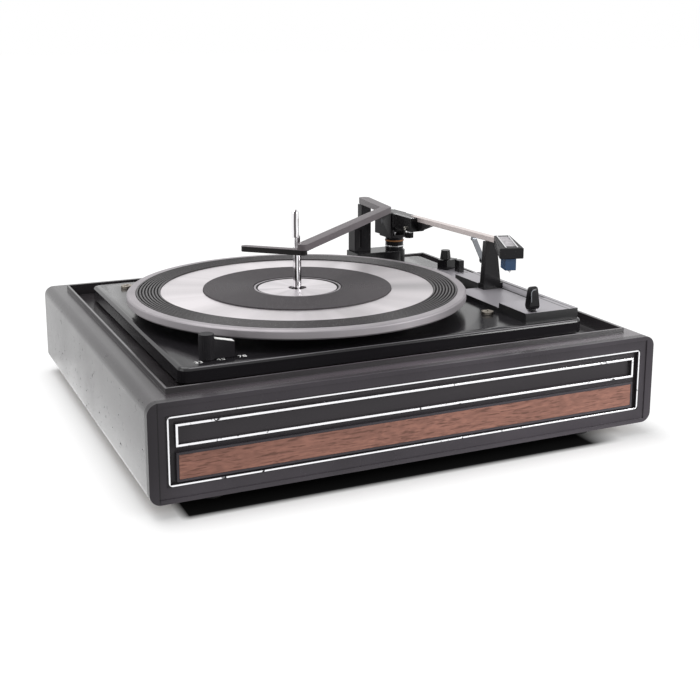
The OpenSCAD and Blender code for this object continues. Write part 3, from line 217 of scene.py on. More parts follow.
PLATTER_AIM = (0, 0, 0.1)
FRONT_AIM = (0.05, -0.18, 0.05)
lamp("overhead", at=(-0.4, 0.35, 1.6), aim=PLATTER_AIM, width=1.5, height=1.2, power=19)
lamp("front_fill", at=(0.80, -0.80, 0.36), aim=FRONT_AIM, width=0.5, height=0.4, power=7.2)
lamp("left_fill", at=(-1.8, -0.3, 0.8), aim=PLATTER_AIM, width=1.2, height=1.0, power=6)

FLOOR_HALF = 12.0
FLOOR_CORNERS = ((-1, -1), (1, -1), (1, 1), (-1, 1))
SHADOW_REACH = 0.05
SHADOW_WAVER = 0.01
SIDE_FADE = 1.6
UNDER_LEFT = 0.026
UNDER_RIGHT = 0.006
UNDER_CORNER = 0.036
CORNER_FROM = 0.04
CORNER_TO = 0.08
UNDER_FRONT = -0.001
UNDER_SOFT = 0.007
RIGHT_SOFT = 0.014
stand_low, stand_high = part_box("plinth_shell")
paper = Finish("white_paper", Roughness=0.95, Specular_IOR_Level=0.0, Emission_Strength=1.0)
floor_x, floor_y, _ = paper.axes()
beside = (floor_x.size() - stand_high.x).larger(0.0) * SIDE_FADE
before = (floor_y.size() - stand_high.y).larger(0.0)
distance = (beside * beside + before * before) ** 0.5
far = paper.ramp(distance + paper.noise(3, 2) * SHADOW_WAVER, 0.0, SHADOW_REACH)
corner = paper.ramp(floor_y, stand_low.y + CORNER_TO, stand_low.y + CORNER_FROM)
left_end = stand_low.x + UNDER_LEFT
right_end = stand_high.x - UNDER_RIGHT - corner * UNDER_CORNER
# Painted shadow: under the plinth's footprint the floor is coloured almost black and gives off no white.
under = paper.ramp(floor_x, left_end - UNDER_SOFT, left_end) \
    * (1 - paper.ramp(floor_x, right_end - RIGHT_SOFT, right_end + RIGHT_SOFT)) \
    * paper.band(floor_y, 0.0, stand_high.y - UNDER_FRONT, UNDER_SOFT)
straight, mirrored, through = paper.rays()
white = far * straight + mirrored + through
lit = paper.mix(far, (0.97, 0.97, 0.97), (0.1, 0.1, 0.1))
paper.paint(Base_Color=paper.mix(under, lit, (0.012, 0.012, 0.012)),
            Emission_Color=paper.mix(white * (1 - under), (0, 0, 0), (1, 1, 1)))
floor_mesh = bpy.data.meshes.new("floor")
floor_mesh.from_pydata([(x * FLOOR_HALF, y * FLOOR_HALF, 0) for x, y in FLOOR_CORNERS], [], [(0, 1, 2, 3)])
floor_mesh.materials.append(paper.material)
floor = bpy.data.objects.new("floor", floor_mesh)
scene.collection.objects.link(floor)


# Plinth shell
# One large satin charcoal moulding with rounded long edges, a raised lip round the well
# and a closed back. Dust and a painted highlight lighten its front ledge, weaker towards the left end, and
# its left side is scuffed and nicked.
def piece_of(name, mesh, finish, body, node=None):
    made = bpy.data.objects.new(name, mesh)
    scene.collection.objects.link(made)
    mesh.materials.clear()
    mesh.materials.append(finish.material)
    if body:
        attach(made, body)
    if node:
        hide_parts(node)
    return made


def body_of(node):
    return next(b for b, nodes in frame["record"]["behaviour"]["bodies"].items() if node in nodes)


MERGE_WITHIN = 2e-6
FLAT_WITHIN = math.radians(1)
SHARP_ANGLE = math.radians(35)


def dressed(node, finish, edge):
    """The solid of a node again, with its sharp edges rounded as a mould or a press leaves them."""
    mesh = frame["nodes"][node].data.copy()
    shape = bmesh.new()
    shape.from_mesh(mesh)
    bmesh.ops.remove_doubles(shape, verts=shape.verts, dist=MERGE_WITHIN)
    bmesh.ops.dissolve_limit(shape, angle_limit=FLAT_WITHIN, verts=shape.verts, edges=shape.edges)
    for face in shape.faces:
        face.smooth = True
    shape.to_mesh(mesh)
    shape.free()
    mesh.set_sharp_from_angle(angle=SHARP_ANGLE)
    made = piece_of(node + "_dressed", mesh, finish, body_of(node), node)
    rounding = made.modifiers.new("edge", "BEVEL")
    rounding.width = edge
    rounding.segments = 2
    rounding.limit_method = "ANGLE"
    rounding.angle_limit = SHARP_ANGLE
    rounding.harden_normals = True


MOTTLE = 0.2


def moulded(name, colour, roughness, gloss=0.5, grain=0.00003):
    """Moulded plastic: a fine grain, cloudy gloss from handling, and a little dust."""
    finish = Finish(name, Specular_IOR_Level=gloss)
    cloud = finish.ramp(finish.noise(14, 5), 0.3, 0.7)
    dust = finish.ramp(finish.noise(1700, 3), 0.68, 0.76)
    dark = tuple(c * (1 - MOTTLE) for c in colour)
    light = tuple(c * (1 + MOTTLE) for c in colour)
    finish.colour = finish.mix(dust * 0.35, finish.mix(cloud, dark, light), (0.30, 0.29, 0.29))
    finish.rough = cloud * 0.10 + (roughness - 0.05)
    finish.paint(Base_Color=finish.colour, Roughness=finish.rough,
                 Normal=finish.bump(finish.noise(2600, 2), grain))
    return finish


SCUFF_FROM = 0.012
SCUFF_FULL = 0.001
SCUFF_BACK = 0.10
LEDGE_IN = 0.018
LEDGE_BACK = 0.030
NICK_IN = 0.003
charcoal = moulded("charcoal_moulding", (0.036, 0.032, 0.035), 0.20, 0.54)
across, along, _ = charcoal.axes()
near_left = charcoal.ramp(across, stand_low.x + SCUFF_FROM, stand_low.x + SCUFF_FULL)
near_front = charcoal.ramp(along, stand_low.y + SCUFF_BACK, stand_low.y)
streak = charcoal.noise(90, 6, charcoal.place(stretch=(1, 0.35, 2.2)), 1.2)
scuff = charcoal.ramp(streak, 0.64, 0.69) * near_left * near_front
# Dust and a painted highlight lighten the upward faces near the front, weaker towards the left end.
ledge = charcoal.upward(0.5, 0.9) * charcoal.ramp(along, stand_low.y + LEDGE_BACK, stand_low.y + LEDGE_IN)
ledge_dust_and_light = ledge * (charcoal.ramp(across, stand_low.x, 0.0) * 0.9 + 0.1)
dust_and_highlight = charcoal.mix(ledge_dust_and_light * 0.8, charcoal.colour, (0.115, 0.098, 0.113))
nick = charcoal.ramp(charcoal.noise(150, 6, None, 1.5), 0.665, 0.70) \
    * charcoal.ramp(across, stand_low.x + 2 * NICK_IN, stand_low.x + NICK_IN)
charcoal.paint(Base_Color=charcoal.mix(scuff * 0.6, dust_and_highlight, (0.42, 0.40, 0.40)),
               Roughness=charcoal.rough + nick * 0.4)
dressed("plinth_shell", charcoal, edge=0.0006)

# Fascia
# A thinner dark moulding over the front, with a shallow step round its border, a deep channel,
# a sunk window above and a raised tray for the wood strip below. Painted shade darkens the left step and the
# left end.
SINK_FROM = 0.0012
SINK_SOFT = 0.0006
STEP_IN = 0.0070
STEP_HALF = 0.0004
STEP_SOFT = 0.0005
SHADE_REACH = 0.034
fascia_low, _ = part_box("fascia")
fascia_dark = moulded("fascia_moulding", (0.066, 0.058, 0.068), 0.30, 0.24)
across, depth, _ = fascia_dark.axes()
sunk = fascia_dark.ramp(depth, fascia_low.y + SINK_FROM, fascia_low.y + SINK_FROM + SINK_SOFT)
toned = fascia_dark.mix(sunk, fascia_dark.colour, (0.046, 0.041, 0.046))
# Painted shade: a dark line along the left step, and the left end coloured darker.
step_shade = fascia_dark.band(across, fascia_low.x + STEP_IN, STEP_HALF, STEP_SOFT) * 0.85
left_end_shade = fascia_dark.ramp(across, fascia_low.x + SHADE_REACH, fascia_low.x) * 0.6
fascia_dark.paint(Base_Color=fascia_dark.mix(step_shade.larger(left_end_shade), toned, (0.006, 0.005, 0.006)))
dressed("fascia", fascia_dark, edge=0.0009)

# Bright lines
# Hot-stamped foil on the ribs of the fascia: the outer line has round corners, and both
# have worn and chipped stretches where the black shows through.
CORNER = 0.0034
LINE_IN = 0.0004
LINE_SOFT = 0.0002
trim_low, trim_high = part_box("fascia_trim")
trim_mid = (trim_low + trim_high) / 2
trim_half = (trim_high - trim_low) / 2
foil = Finish("stamped_foil", Metallic=0.9)
line_x, _, line_z = foil.axes()
side = ((line_x - trim_mid.x).size() - (trim_half.x - CORNER)).larger(0.0)
end = ((line_z - trim_mid.z).size() - (trim_half.z - CORNER)).larger(0.0)
outside = foil.ramp((side * side + end * end) ** 0.5, CORNER - LINE_IN - LINE_SOFT, CORNER - LINE_IN)
flake = foil.ramp(foil.noise(210, 5, None, 0.8), 0.63, 0.66) * foil.ramp(foil.noise(17, 2), 0.46, 0.56)
bare = outside.larger(flake)
foil.paint(Base_Color=foil.mix(bare, (0.93, 0.93, 0.95), (0.03, 0.028, 0.03)),
           Roughness=foil.ramp(foil.noise(40, 3), 0.3, 0.7) * 0.15 + 0.25,
           Normal=foil.bump(bare, 0.0002, -1.0))
dressed("fascia_trim", foil, edge=0.0002)

# Wood strip
# A strip of walnut veneer glued in the fascia's tray, with its grain along the front
# and fine open pores under a thin satin lacquer.
GROWTH_LINES = 60
LINE_RIPPLE = 7
walnut = Finish("walnut_veneer", Coat_Weight=0.06, Coat_Roughness=0.35, Specular_IOR_Level=0.3)
waver = walnut.noise(9, 4, walnut.place(stretch=(1, 3, 6)), 1.4)
ripple = walnut.noise(60, 6, walnut.place(stretch=(0.5, 3, 6)))
figure = (waver * GROWTH_LINES + ripple * LINE_RIPPLE).sine() * 0.5 + 0.5
shade = walnut.ramp(walnut.noise(14, 3, walnut.place(stretch=(1, 1, 3))), 0.3, 0.7)
fleck = walnut.ramp(walnut.noise(420, 3, walnut.place(stretch=(0.4, 1, 1))), 0.35, 0.65)
pore = walnut.ramp(walnut.noise(900, 4, walnut.place(stretch=(0.10, 1, 1))), 0.54, 0.64)
heart = walnut.mix(shade * 0.6 + fleck * 0.4, (0.309, 0.147, 0.110), (0.518, 0.248, 0.186))
brown = walnut.mix(figure * 0.28, heart, (0.118, 0.058, 0.046))
walnut.paint(Base_Color=walnut.mix(pore * 0.55, brown, (0.076, 0.036, 0.028)),
             Roughness=pore * 0.2 + 0.45, Normal=walnut.bump(pore, 0.0001, -1.0))
dressed("wood_strip", walnut, edge=0.0002)

# Bottom
# A fibre board closes the plinth, four rubber feet stand on it, plated screws hold both,
# and a rubber gland lines the lead hole in the back.
fibre = Finish("fibre_board", Roughness=0.85)
speck = fibre.noise(700, 4)
fibre.paint(Base_Color=fibre.mix(speck, (0.09, 0.06, 0.035), (0.20, 0.14, 0.09)),
            Normal=fibre.bump(speck, 0.0002))
dressed("base_board", fibre, edge=0.0004)
rubber = Finish("black_rubber")
bloom = rubber.noise(60, 5)
rubber.paint(Base_Color=rubber.mix(bloom, (0.016, 0.016, 0.016), (0.045, 0.044, 0.043)),
             Roughness=bloom * 0.2 + 0.62, Normal=rubber.bump(rubber.noise(1800, 2), 0.00008))
dressed("feet", rubber, edge=0.0006)
dressed("lead_grommet", rubber, edge=0.0004)


def plated(name, colour, roughness):
    """Plated steel: a hazy plate with fine drawn scratches."""
    finish = Finish(name, Metallic=1.0)
    haze = finish.ramp(finish.noise(35, 5), 0.25, 0.75)
    scratch = finish.noise(1400, 3, finish.place(stretch=(1, 0.08, 1)))
    dark = tuple(c * 0.74 for c in colour)
    finish.paint(Base_Color=finish.mix(haze, dark, colour), Roughness=haze * 0.14 + roughness,
                 Normal=finish.bump(scratch, 0.00003))
    return finish


zinc = plated("zinc_plate", (0.60, 0.60, 0.61), 0.30)
dressed("foot_screws", zinc, edge=0.0003)

# Deck plate
# A pressed steel tray in satin black enamel with a rolled edge that has a highlight painted
# along the front, and three speeds printed in white beside the selector.
EDGE_WIDE = 0.0006
EDGE_SOFT = 0.0006
EDGE_HIGH = 0.0010
EDGE_RISE = 0.0004
deck_low, deck_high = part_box("deck_plate")
deck_top = deck_high.z
enamel = Finish("black_enamel", Specular_IOR_Level=0.36)
dust = enamel.ramp(enamel.noise(1500, 3), 0.70, 0.78)
sheen = enamel.ramp(enamel.noise(20, 4), 0.3, 0.7)
_, deck_y, deck_z = enamel.axes()
# Painted highlight: a bright line along the top of the front edge.
front_edge_highlight = (1 - enamel.ramp(deck_y, deck_low.y + EDGE_WIDE, deck_low.y + EDGE_WIDE + EDGE_SOFT)) \
    * enamel.ramp(deck_z, deck_top - EDGE_HIGH, deck_top - EDGE_HIGH + EDGE_RISE)
black = enamel.mix(dust * 0.35, (0.015, 0.014, 0.016), (0.16, 0.16, 0.16))
enamel.paint(Base_Color=enamel.mix(front_edge_highlight, black, (0.60, 0.58, 0.61)),
             Roughness=sheen * 0.08 + 0.13, Normal=enamel.bump(enamel.noise(320, 2), 0.00002))
dressed("deck_plate", enamel, edge=0.0006)


def mesh_of(made):
    """The evaluated mesh of a new object, which is then removed."""
    scene.collection.objects.link(made)
    mesh = bpy.data.meshes.new_from_object(made.evaluated_get(bpy.context.evaluated_depsgraph_get()))
    bpy.data.objects.remove(made)
    return mesh


printed = Finish("printed_white", Roughness=0.6)
ink = printed.ramp(printed.noise(1600, 3), 0.3, 0.5)
printed.paint(Base_Color=printed.mix(ink, (0.55, 0.55, 0.55), (0.86, 0.86, 0.85)))
NUMERAL_SIZE = 0.0066
NUMERAL_THICK = 0.00005
NUMERALS = {"33": (0.0164, 0.0080), "45": (0.0330, 0.0090), "78": (0.0493, 0.0100)}
for digits, (right, back) in NUMERALS.items():
    curve = bpy.data.curves.new("numeral_" + digits, "FONT")
    curve.body = digits
    curve.size = NUMERAL_SIZE
    curve.align_x = "CENTER"
    curve.extrude = NUMERAL_THICK
    figures = mesh_of(bpy.data.objects.new("numeral_" + digits, curve))
    figures.transform(Matrix.Translation((deck_low.x + right, deck_low.y + back, deck_top + NUMERAL_THICK)))
    piece_of("numeral_" + digits, figures, printed, "deck")

# Suspension
# Four coil springs of plated wire carry the deck in the well, and two nickel screws
# through the deck lock it for a journey.
WIRE = 0.0016
WIRE_SIDES = 10
COIL_R = 0.0057
COIL_STEPS = 24
SPRING_TURNS = 4.0


class Pattern:
    """A Geometry Nodes tree whose named inputs are the sizes of what repeats."""

    def __init__(self, name, finish, **sizes):
        self.name = name
        self.finish = finish
        self.sizes = sizes
        self.tree = bpy.data.node_groups.new(name, "GeometryNodeTree")
        self.tree.interface.new_socket("Geometry", in_out="OUTPUT", socket_type="NodeSocketGeometry")
        for size, value in sizes.items():
            kind = "NodeSocketInt" if isinstance(value, int) else "NodeSocketFloat"
            self.tree.interface.new_socket(size, in_out="INPUT", socket_type=kind)
        self.given = self.tree.nodes.new("NodeGroupInput")

    def node(self, kind, sockets, **settings):
        made = self.tree.nodes.new(kind)
        for name, value in settings.items():
            setattr(made, name, value)
        for name, value in sockets.items():
            if isinstance(value, str):
                self.tree.links.new(self.given.outputs[value], made.inputs[name])
            elif isinstance(value, bpy.types.NodeSocket):
                self.tree.links.new(value, made.inputs[name])
            else:
                made.inputs[name].default_value = value
        return made.outputs[0]

    def mesh(self, geometry):
        smooth = self.node("GeometryNodeSetShadeSmooth", {"Geometry": geometry})
        real = self.node("GeometryNodeRealizeInstances", {"Geometry": smooth})
        coated = self.node("GeometryNodeSetMaterial", {"Geometry": real, "Material": self.finish.material})
        self.tree.links.new(coated, self.tree.nodes.new("NodeGroupOutput").inputs[0])
        carrier = bpy.data.objects.new(self.name, bpy.data.meshes.new(self.name))
        maker = carrier.modifiers.new("pattern", "NODES")
        maker.node_group = self.tree
        for item in self.tree.interface.items_tree:
            if item.in_out == "INPUT":
                maker[item.identifier] = self.sizes[item.name]
        return mesh_of(carrier)


spring_low, spring_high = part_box("suspension_springs")
spring_mid = (spring_low + spring_high) / 2
spring_size = spring_high - spring_low
coils = Pattern("suspension_coils", zinc, Length=spring_size.x - 2 * COIL_R - WIRE,
                Depth=spring_size.y - 2 * COIL_R - WIRE, Height=spring_size.z - WIRE, Turns=SPRING_TURNS,
                Radius=COIL_R, Thickness=WIRE / 2)
corners = coils.node("GeometryNodeMeshGrid", {
    "Size X": "Length", "Size Y": "Depth", "Vertices X": 2, "Vertices Y": 2})
helix = coils.node("GeometryNodeCurveSpiral", {
    "Resolution": COIL_STEPS, "Rotations": "Turns", "Start Radius": "Radius", "End Radius": "Radius",
    "Height": "Height"})
round_wire = coils.node("GeometryNodeCurvePrimitiveCircle", {"Resolution": WIRE_SIDES, "Radius": "Thickness"})
coil = coils.node("GeometryNodeCurveToMesh", {
    "Curve": helix, "Profile Curve": round_wire, "Fill Caps": True})
four = coils.node("GeometryNodeInstanceOnPoints", {"Points": corners, "Instance": coil})
coil_mesh = coils.mesh(four)
coil_mesh.transform(Matrix.Translation((spring_mid.x, spring_mid.y, spring_low.z + WIRE / 2)))
springs = piece_of("suspension_coils", coil_mesh, zinc, None, "suspension_springs")
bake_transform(springs)
nickel = plated("nickel_plate", (0.80, 0.77, 0.71), 0.18)
dulled = plated("dulled_nickel", (0.34, 0.31, 0.27), 0.34)
dressed("transit_screws", dulled, edge=0.0003)

# Control panel
# A black moulding whose top faces are sprayed silver, with a pocket, a front platform and
# a sloped rib along its right side, lined in black at both edges of the slope.
RIB_TOP = 0.004
RIB_SLOPE = 0.005
RIB_LINE = 0.0005
RIB_LINE_SOFT = 0.0002
_, panel_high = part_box("control_panel")
spray = Finish("silver_spray")
smear = spray.ramp(spray.noise(12, 5), 0.3, 0.7)
panel_x, _, _ = spray.axes()
slope_from = spray.band(panel_x, panel_high.x - RIB_TOP - RIB_SLOPE, RIB_LINE, RIB_LINE_SOFT)
slope_to = spray.band(panel_x, panel_high.x - RIB_TOP, RIB_LINE, RIB_LINE_SOFT)
coated = spray.upward(0.30, 0.45) * (1 - slope_from) * (1 - slope_to)
silver = spray.mix(smear, (0.30, 0.285, 0.31), (0.36, 0.345, 0.37))
spray.paint(Base_Color=spray.mix(coated, (0.012, 0.012, 0.013), silver), Metallic=coated * 0.35,
            Roughness=smear * 0.1 + 0.28, Normal=spray.bump(spray.noise(3200, 2), 0.00003))
dressed("control_panel", spray, edge=0.0004)

# Motor
# A shaded-pole motor hung on rubber grommets: a stack of stampings, a taped winding,
# two zinc end plates, a rotor, and a stepped brass pulley on its shaft.
STAMPING_T = 0.0007
TAPE_W = 0.004
stampings = plated("stamped_laminations", (0.36, 0.36, 0.37), 0.42)
layers = (stampings.axes()[2] * (2 * math.pi / STAMPING_T)).sine()
stampings.paint(Normal=stampings.bump(layers, 0.0001))
dressed("motor_stator", stampings, edge=0.0003)
winding = Finish("taped_winding", Roughness=0.55)
wrap = (winding.axes()[2] * (2 * math.pi / TAPE_W) + winding.noise(40, 2) * 1.5).sine() * 0.5 + 0.5
winding.paint(Base_Color=winding.mix(wrap, (0.22, 0.11, 0.03), (0.34, 0.20, 0.07)),
              Normal=winding.bump(wrap, 0.0003))
dressed("motor_coil", winding, edge=0.0015)
for node in ("motor_plates", "motor_rotor"):
    dressed(node, zinc, edge=0.0002)
dressed("motor_grommets", rubber, edge=0.0003)
brass = plated("turned_brass", (0.78, 0.58, 0.27), 0.22)
dressed("motor_pulley", brass, edge=0.0002)

# Drive and change gear
# The platter runs on a steel bearing, coloured near black as painted shade in the bore, and on a
# thrust race. A rubber idler turns its rim, and a nylon gear under it works the slide of the change cycle.
for node in ("thrust_race", "idler_bracket", "cam_stud", "main_slide", "slide_studs"):
    dressed(node, zinc, edge=0.0002)
dressed("idler_wheel", rubber, edge=0.0003)
# Painted shade: the bearing is coloured near black so that the bore looks dark.
bore_shade = moulded("greased_steel", (0.010, 0.009, 0.008), 0.75, 0.05)
dressed("bearing_tube", bore_shade, edge=0.0002)
nylon = Finish("natural_nylon", Subsurface_Weight=0.05)
yellowing = nylon.noise(25, 4)
nylon.paint(Base_Color=nylon.mix(yellowing, (0.55, 0.50, 0.36), (0.70, 0.66, 0.53)),
            Roughness=yellowing * 0.1 + 0.4, Normal=nylon.bump(nylon.noise(900, 2), 0.00004))
dressed("cam_gear", nylon, edge=0.0002)

# Platter
# A pressed alloy wheel turned bright on its rim, with a ring and a centre disc brushed in
# circles and painted with light and dark sectors as reflections. Painted shade darkens the groove
# between the disc and the platter's lip, and the bore, and a dark reflection is painted across the ring.
LIP_R = 0.0367
LIP_HALF = 0.0004
GROOVE_R = 0.0336
GROOVE_HALF = 0.0008
BORE_R = 0.0076
SHADE_SOFT = 0.0002
DARK_REFLECTION_AT = -0.36
DARK_REFLECTION_HALF = 0.03
DARK_REFLECTION_SOFT = 0.22
CIRCLE_DEEP = 0.00004
RIM_METAL = 0.6
platter_low, platter_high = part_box("platter")
hub = (platter_low + platter_high) / 2


def turned(name, colour, roughness, pitch, metal=1.0, streaks=2.6, dark=0.66):
    """Turned alloy: fine circles round the spindle, with light and dark sectors painted as the reflections
    that brushing gives.
    """
    finish = Finish(name, Metallic=metal)
    finish.radius, finish.angle = finish.about(hub)
    circles = finish.node("CombineXYZ", {"X": finish.radius * (1 / pitch), "Y": 0.0, "Z": 0.0})
    line = finish.noise(1.0, 5, circles)
    spokes = finish.node("CombineXYZ", {
        "X": finish.angle.sine(), "Y": (finish.angle + math.pi / 2).sine(), "Z": 0.0})
    # Painted reflections: slow light and dark sectors round the spindle.
    painted_sectors = finish.ramp(finish.noise(streaks, 3, spokes), 0.38, 0.66)
    shaded = tuple(c * dark for c in colour)
    finish.colour = finish.mix(line * 0.4 + painted_sectors * 0.5, colour, shaded)
    finish.rough = finish.noise(8, 4) * 0.12 + line * 0.12 + roughness
    finish.paint(Base_Color=finish.colour, Roughness=finish.rough, Normal=finish.bump(line, CIRCLE_DEEP))
    return finish


rim_alloy = turned("turned_alloy", (0.375, 0.352, 0.37), 0.38, pitch=0.0011, metal=RIM_METAL)
# Painted shade: the lip edge, the groove and the bore are coloured dark and dull.
lip_edge = rim_alloy.band(rim_alloy.radius, LIP_R, LIP_HALF, SHADE_SOFT)
groove = rim_alloy.band(rim_alloy.radius, GROOVE_R, GROOVE_HALF, SHADE_SOFT)
bore = rim_alloy.band(rim_alloy.radius, 0.0, BORE_R, SHADE_SOFT)
painted_shade = lip_edge.larger(groove).larger(bore)
rim_alloy.paint(Base_Color=rim_alloy.mix(painted_shade, rim_alloy.colour, (0.006, 0.0055, 0.006)),
                Metallic=(1 - painted_shade) * RIM_METAL, Roughness=rim_alloy.rough + painted_shade * 0.7)
dressed("platter", rim_alloy, edge=0.0004)
ring_alloy = turned("brushed_alloy", (0.80, 0.76, 0.78), 0.28, pitch=0.0007, streaks=2.4, dark=0.55)
# Painted reflection: a dark wedge across the ring at one angle.
dark_reflection = ring_alloy.band(ring_alloy.angle, DARK_REFLECTION_AT, DARK_REFLECTION_HALF, DARK_REFLECTION_SOFT) * 0.65
ring_alloy.paint(Base_Color=ring_alloy.mix(dark_reflection, ring_alloy.colour, (0.34, 0.33, 0.34)))
dressed("platter_ring", ring_alloy, edge=0.0002)
disc_alloy = turned("brushed_disc", (0.79, 0.75, 0.775), 0.26, pitch=0.0006, streaks=2.0, dark=0.55)
dressed("centre_disc", disc_alloy, edge=0.0003)

# Mats
# Two grey rubber mats let in either side of the ring: the outer one has eight bold ridges
# for the record's edge over a flat coloured darker as painted shade, the inner one is almost smooth.
CIRCLE_STEPS = 160
RIDGE_SIDES = 12
SEAM_WITHIN = 1e-6


def mesh_from(shape, name):
    mesh = bpy.data.meshes.new(name)
    shape.to_mesh(mesh)
    shape.free()
    return mesh


def spun_ring(name, profile, centre, steps=CIRCLE_STEPS):
    """A closed outline of (radius, height) points turned once round a vertical axis."""
    shape = bmesh.new()
    loop = [shape.verts.new((centre.x + radius, centre.y, height)) for radius, height in profile]
    edges = [shape.edges.new((loop[i - 1], loop[i])) for i in range(len(loop))]
    bmesh.ops.spin(shape, geom=loop + edges, cent=(centre.x, centre.y, 0), axis=(0, 0, 1),
                   angle=2 * math.pi, steps=steps)
    bmesh.ops.remove_doubles(shape, verts=shape.verts, dist=SEAM_WITHIN)
    bmesh.ops.recalc_face_normals(shape, faces=shape.faces)
    for face in shape.faces:
        face.smooth = True
    mesh = mesh_from(shape, name)
    mesh.set_sharp_from_angle(angle=SHARP_ANGLE)
    return mesh


def mat_rubber(name, dark, light, roughness, gloss=0.3):
    """Moulded rubber, worn in clouds and dusty."""
    finish = Finish(name, Specular_IOR_Level=gloss)
    worn = finish.noise(30, 5)
    dusty = finish.ramp(finish.noise(900, 4), 0.58, 0.72)
    finish.paint(Base_Color=finish.mix(dusty * 0.25, finish.mix(worn, dark, light), (0.35, 0.34, 0.34)),
                 Roughness=worn * 0.15 + roughness, Normal=finish.bump(finish.noise(1500, 2), 0.00004))
    return finish


def ribbed_mat(node, finish, floor_finish, inner, ridges, width, proud):
    """A flat ring under round-topped ridges: circles of growing size swept with one profile."""
    low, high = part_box(node)
    outer = (high.x - low.x) / 2
    rows = Pattern(node + "_ridges", finish, First=inner + width / 2,
                   Step=(outer - inner - width) / (ridges - 1), Count=ridges, Radius=width / 2)
    line = rows.node("GeometryNodeMeshLine", {"Count": "Count", "Offset": (0, 0, 0)})
    circle = rows.node("GeometryNodeCurvePrimitiveCircle", {"Resolution": CIRCLE_STEPS, "Radius": 1.0})
    grow = rows.node("ShaderNodeMath", {0: rows.node("GeometryNodeInputIndex", {}), 1: "Step", 2: "First"},
                     operation="MULTIPLY_ADD")
    hoops = rows.node("GeometryNodeInstanceOnPoints", {"Points": line, "Instance": circle, "Scale": grow})
    hoops = rows.node("GeometryNodeRealizeInstances", {"Geometry": hoops})
    section = rows.node("GeometryNodeCurvePrimitiveCircle", {"Resolution": RIDGE_SIDES, "Radius": "Radius"})
    mesh = rows.mesh(rows.node("GeometryNodeCurveToMesh", {"Curve": hoops, "Profile Curve": section}))
    mesh.transform(Matrix.Translation((hub.x, hub.y, high.z - width / 2)))
    piece_of(node + "_ridges", mesh, finish, "turntable")
    top = high.z - proud
    flat = spun_ring(node + "_flat", [(inner, low.z), (outer, low.z), (outer, top), (inner, top)], hub)
    piece_of(node + "_flat", flat, floor_finish, "turntable", node)


outer_rubber = mat_rubber("outer_mat_rubber", (0.013, 0.0105, 0.012), (0.026, 0.022, 0.024), 0.28, 0.50)
# Painted shade: the outer mat's flat between its ridges is coloured darker than the ridges.
groove_rubber = mat_rubber("groove_rubber", (0.006, 0.0055, 0.006), (0.011, 0.010, 0.011), 0.7, 0.15)
ribbed_mat("outer_mat", outer_rubber, groove_rubber, inner=0.113, ridges=8, width=0.0016, proud=0.0012)
inner_rubber = mat_rubber("inner_mat_rubber", (0.037, 0.0325, 0.036), (0.050, 0.044, 0.048), 0.55)
ribbed_mat("inner_mat", inner_rubber, inner_rubber, inner=0.037, ridges=22, width=0.0026, proud=0.0002)

# Spindle
# Polished chrome, fixed to the deck, cranked near its top so that the stack rests on its shelf,
# with the small pusher that drops one record at a time. Its sides are painted with dark and bright stripes as
# reflections.
REFLECTION_STRIPES = 5
chrome = plated("polished_chrome", (0.88, 0.88, 0.89), 0.08)
polish = Finish("spindle_polish", Metallic=1.0, Roughness=0.1)
_, angle = polish.about(hub)
# Painted reflections: dark and bright stripes round the spindle's sides.
reflection_stripes = polish.ramp((angle * REFLECTION_STRIPES + polish.noise(60, 2) * 1.2).sine(), 0.25, 0.7)
polish.paint(Base_Color=polish.mix(reflection_stripes, (0.86, 0.85, 0.87), (0.10, 0.09, 0.095)),
             Normal=polish.bump(polish.noise(300, 2), 0.00002))
dressed("spindle", polish, edge=0.0003)
dressed("spindle_pusher", chrome, edge=0.0002)

# Arm rest
# A glossy black tapered post, moulded with a flange that stands in the panel's pocket, and
# a hinged spring clip of blackened steel strip that holds the parked tube.
gloss_black = moulded("gloss_moulding", (0.010, 0.0095, 0.0105), 0.20, 0.20, 0.00002)
dressed("arm_rest_post", gloss_black, edge=0.0006)
clip_steel = plated("blackened_strip", (0.26, 0.27, 0.29), 0.28)
dressed("rest_clip", clip_steel, edge=0.0003)

# Tonearm base and pillar
# A black block screwed to the rear right of the deck carries the hollow pillar, which has a
# brown fibre washer and a zinc collar, and the lift rod inside. The switch is under the deck.
WASHER_UP = 0.0085
WASHER_T = 0.0016
WASHER_PROUD = 0.0005
COLLAR_UP = 0.0032
COLLAR_T = 0.0014
COLLAR_PROUD = 0.0004
RING_BITE = 0.0003
RING_ROUND = 0.2
RING_STEPS = 48
arm_black = moulded("arm_moulding", (0.010, 0.0095, 0.0105), 0.28, 0.14)
matt_black = moulded("matt_moulding", (0.014, 0.013, 0.015), 0.42, 0.12)
dressed("arm_base", gloss_black, edge=0.0006)
dressed("power_switch", gloss_black, edge=0.0006)
dressed("arm_pillar", arm_black, edge=0.0005)
dressed("lift_rod", zinc, edge=0.0002)
_, base_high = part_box("arm_base")
pillar_low, pillar_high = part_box("arm_pillar")
pillar_at = (pillar_low + pillar_high) / 2
pillar_r = (pillar_high.x - pillar_low.x) / 2


def pillar_ring(name, up, thick, proud, finish):
    """A ring with two rounded edges, tight round the pillar and above its block."""
    low = base_high.z + up
    high = low + thick
    tight = pillar_r - RING_BITE
    outer = pillar_r + proud
    soft = thick * RING_ROUND
    outline = [(tight, low), (outer - soft, low), (outer, low + soft), (outer, high - soft),
               (outer - soft, high), (tight, high)]
    piece_of(name, spun_ring(name, outline, pillar_at, RING_STEPS), finish, "deck")


fibre_brown = Finish("fibre_washer", Roughness=0.6)
cloth = fibre_brown.noise(800, 4)
fibre_brown.paint(Base_Color=fibre_brown.mix(cloth, (0.17, 0.065, 0.018), (0.30, 0.13, 0.04)),
                  Normal=fibre_brown.bump(cloth, 0.0001))
pillar_ring("pillar_washer", WASHER_UP, WASHER_T, WASHER_PROUD, fibre_brown)
pillar_ring("pillar_collar", COLLAR_UP, COLLAR_T, COLLAR_PROUD, zinc)

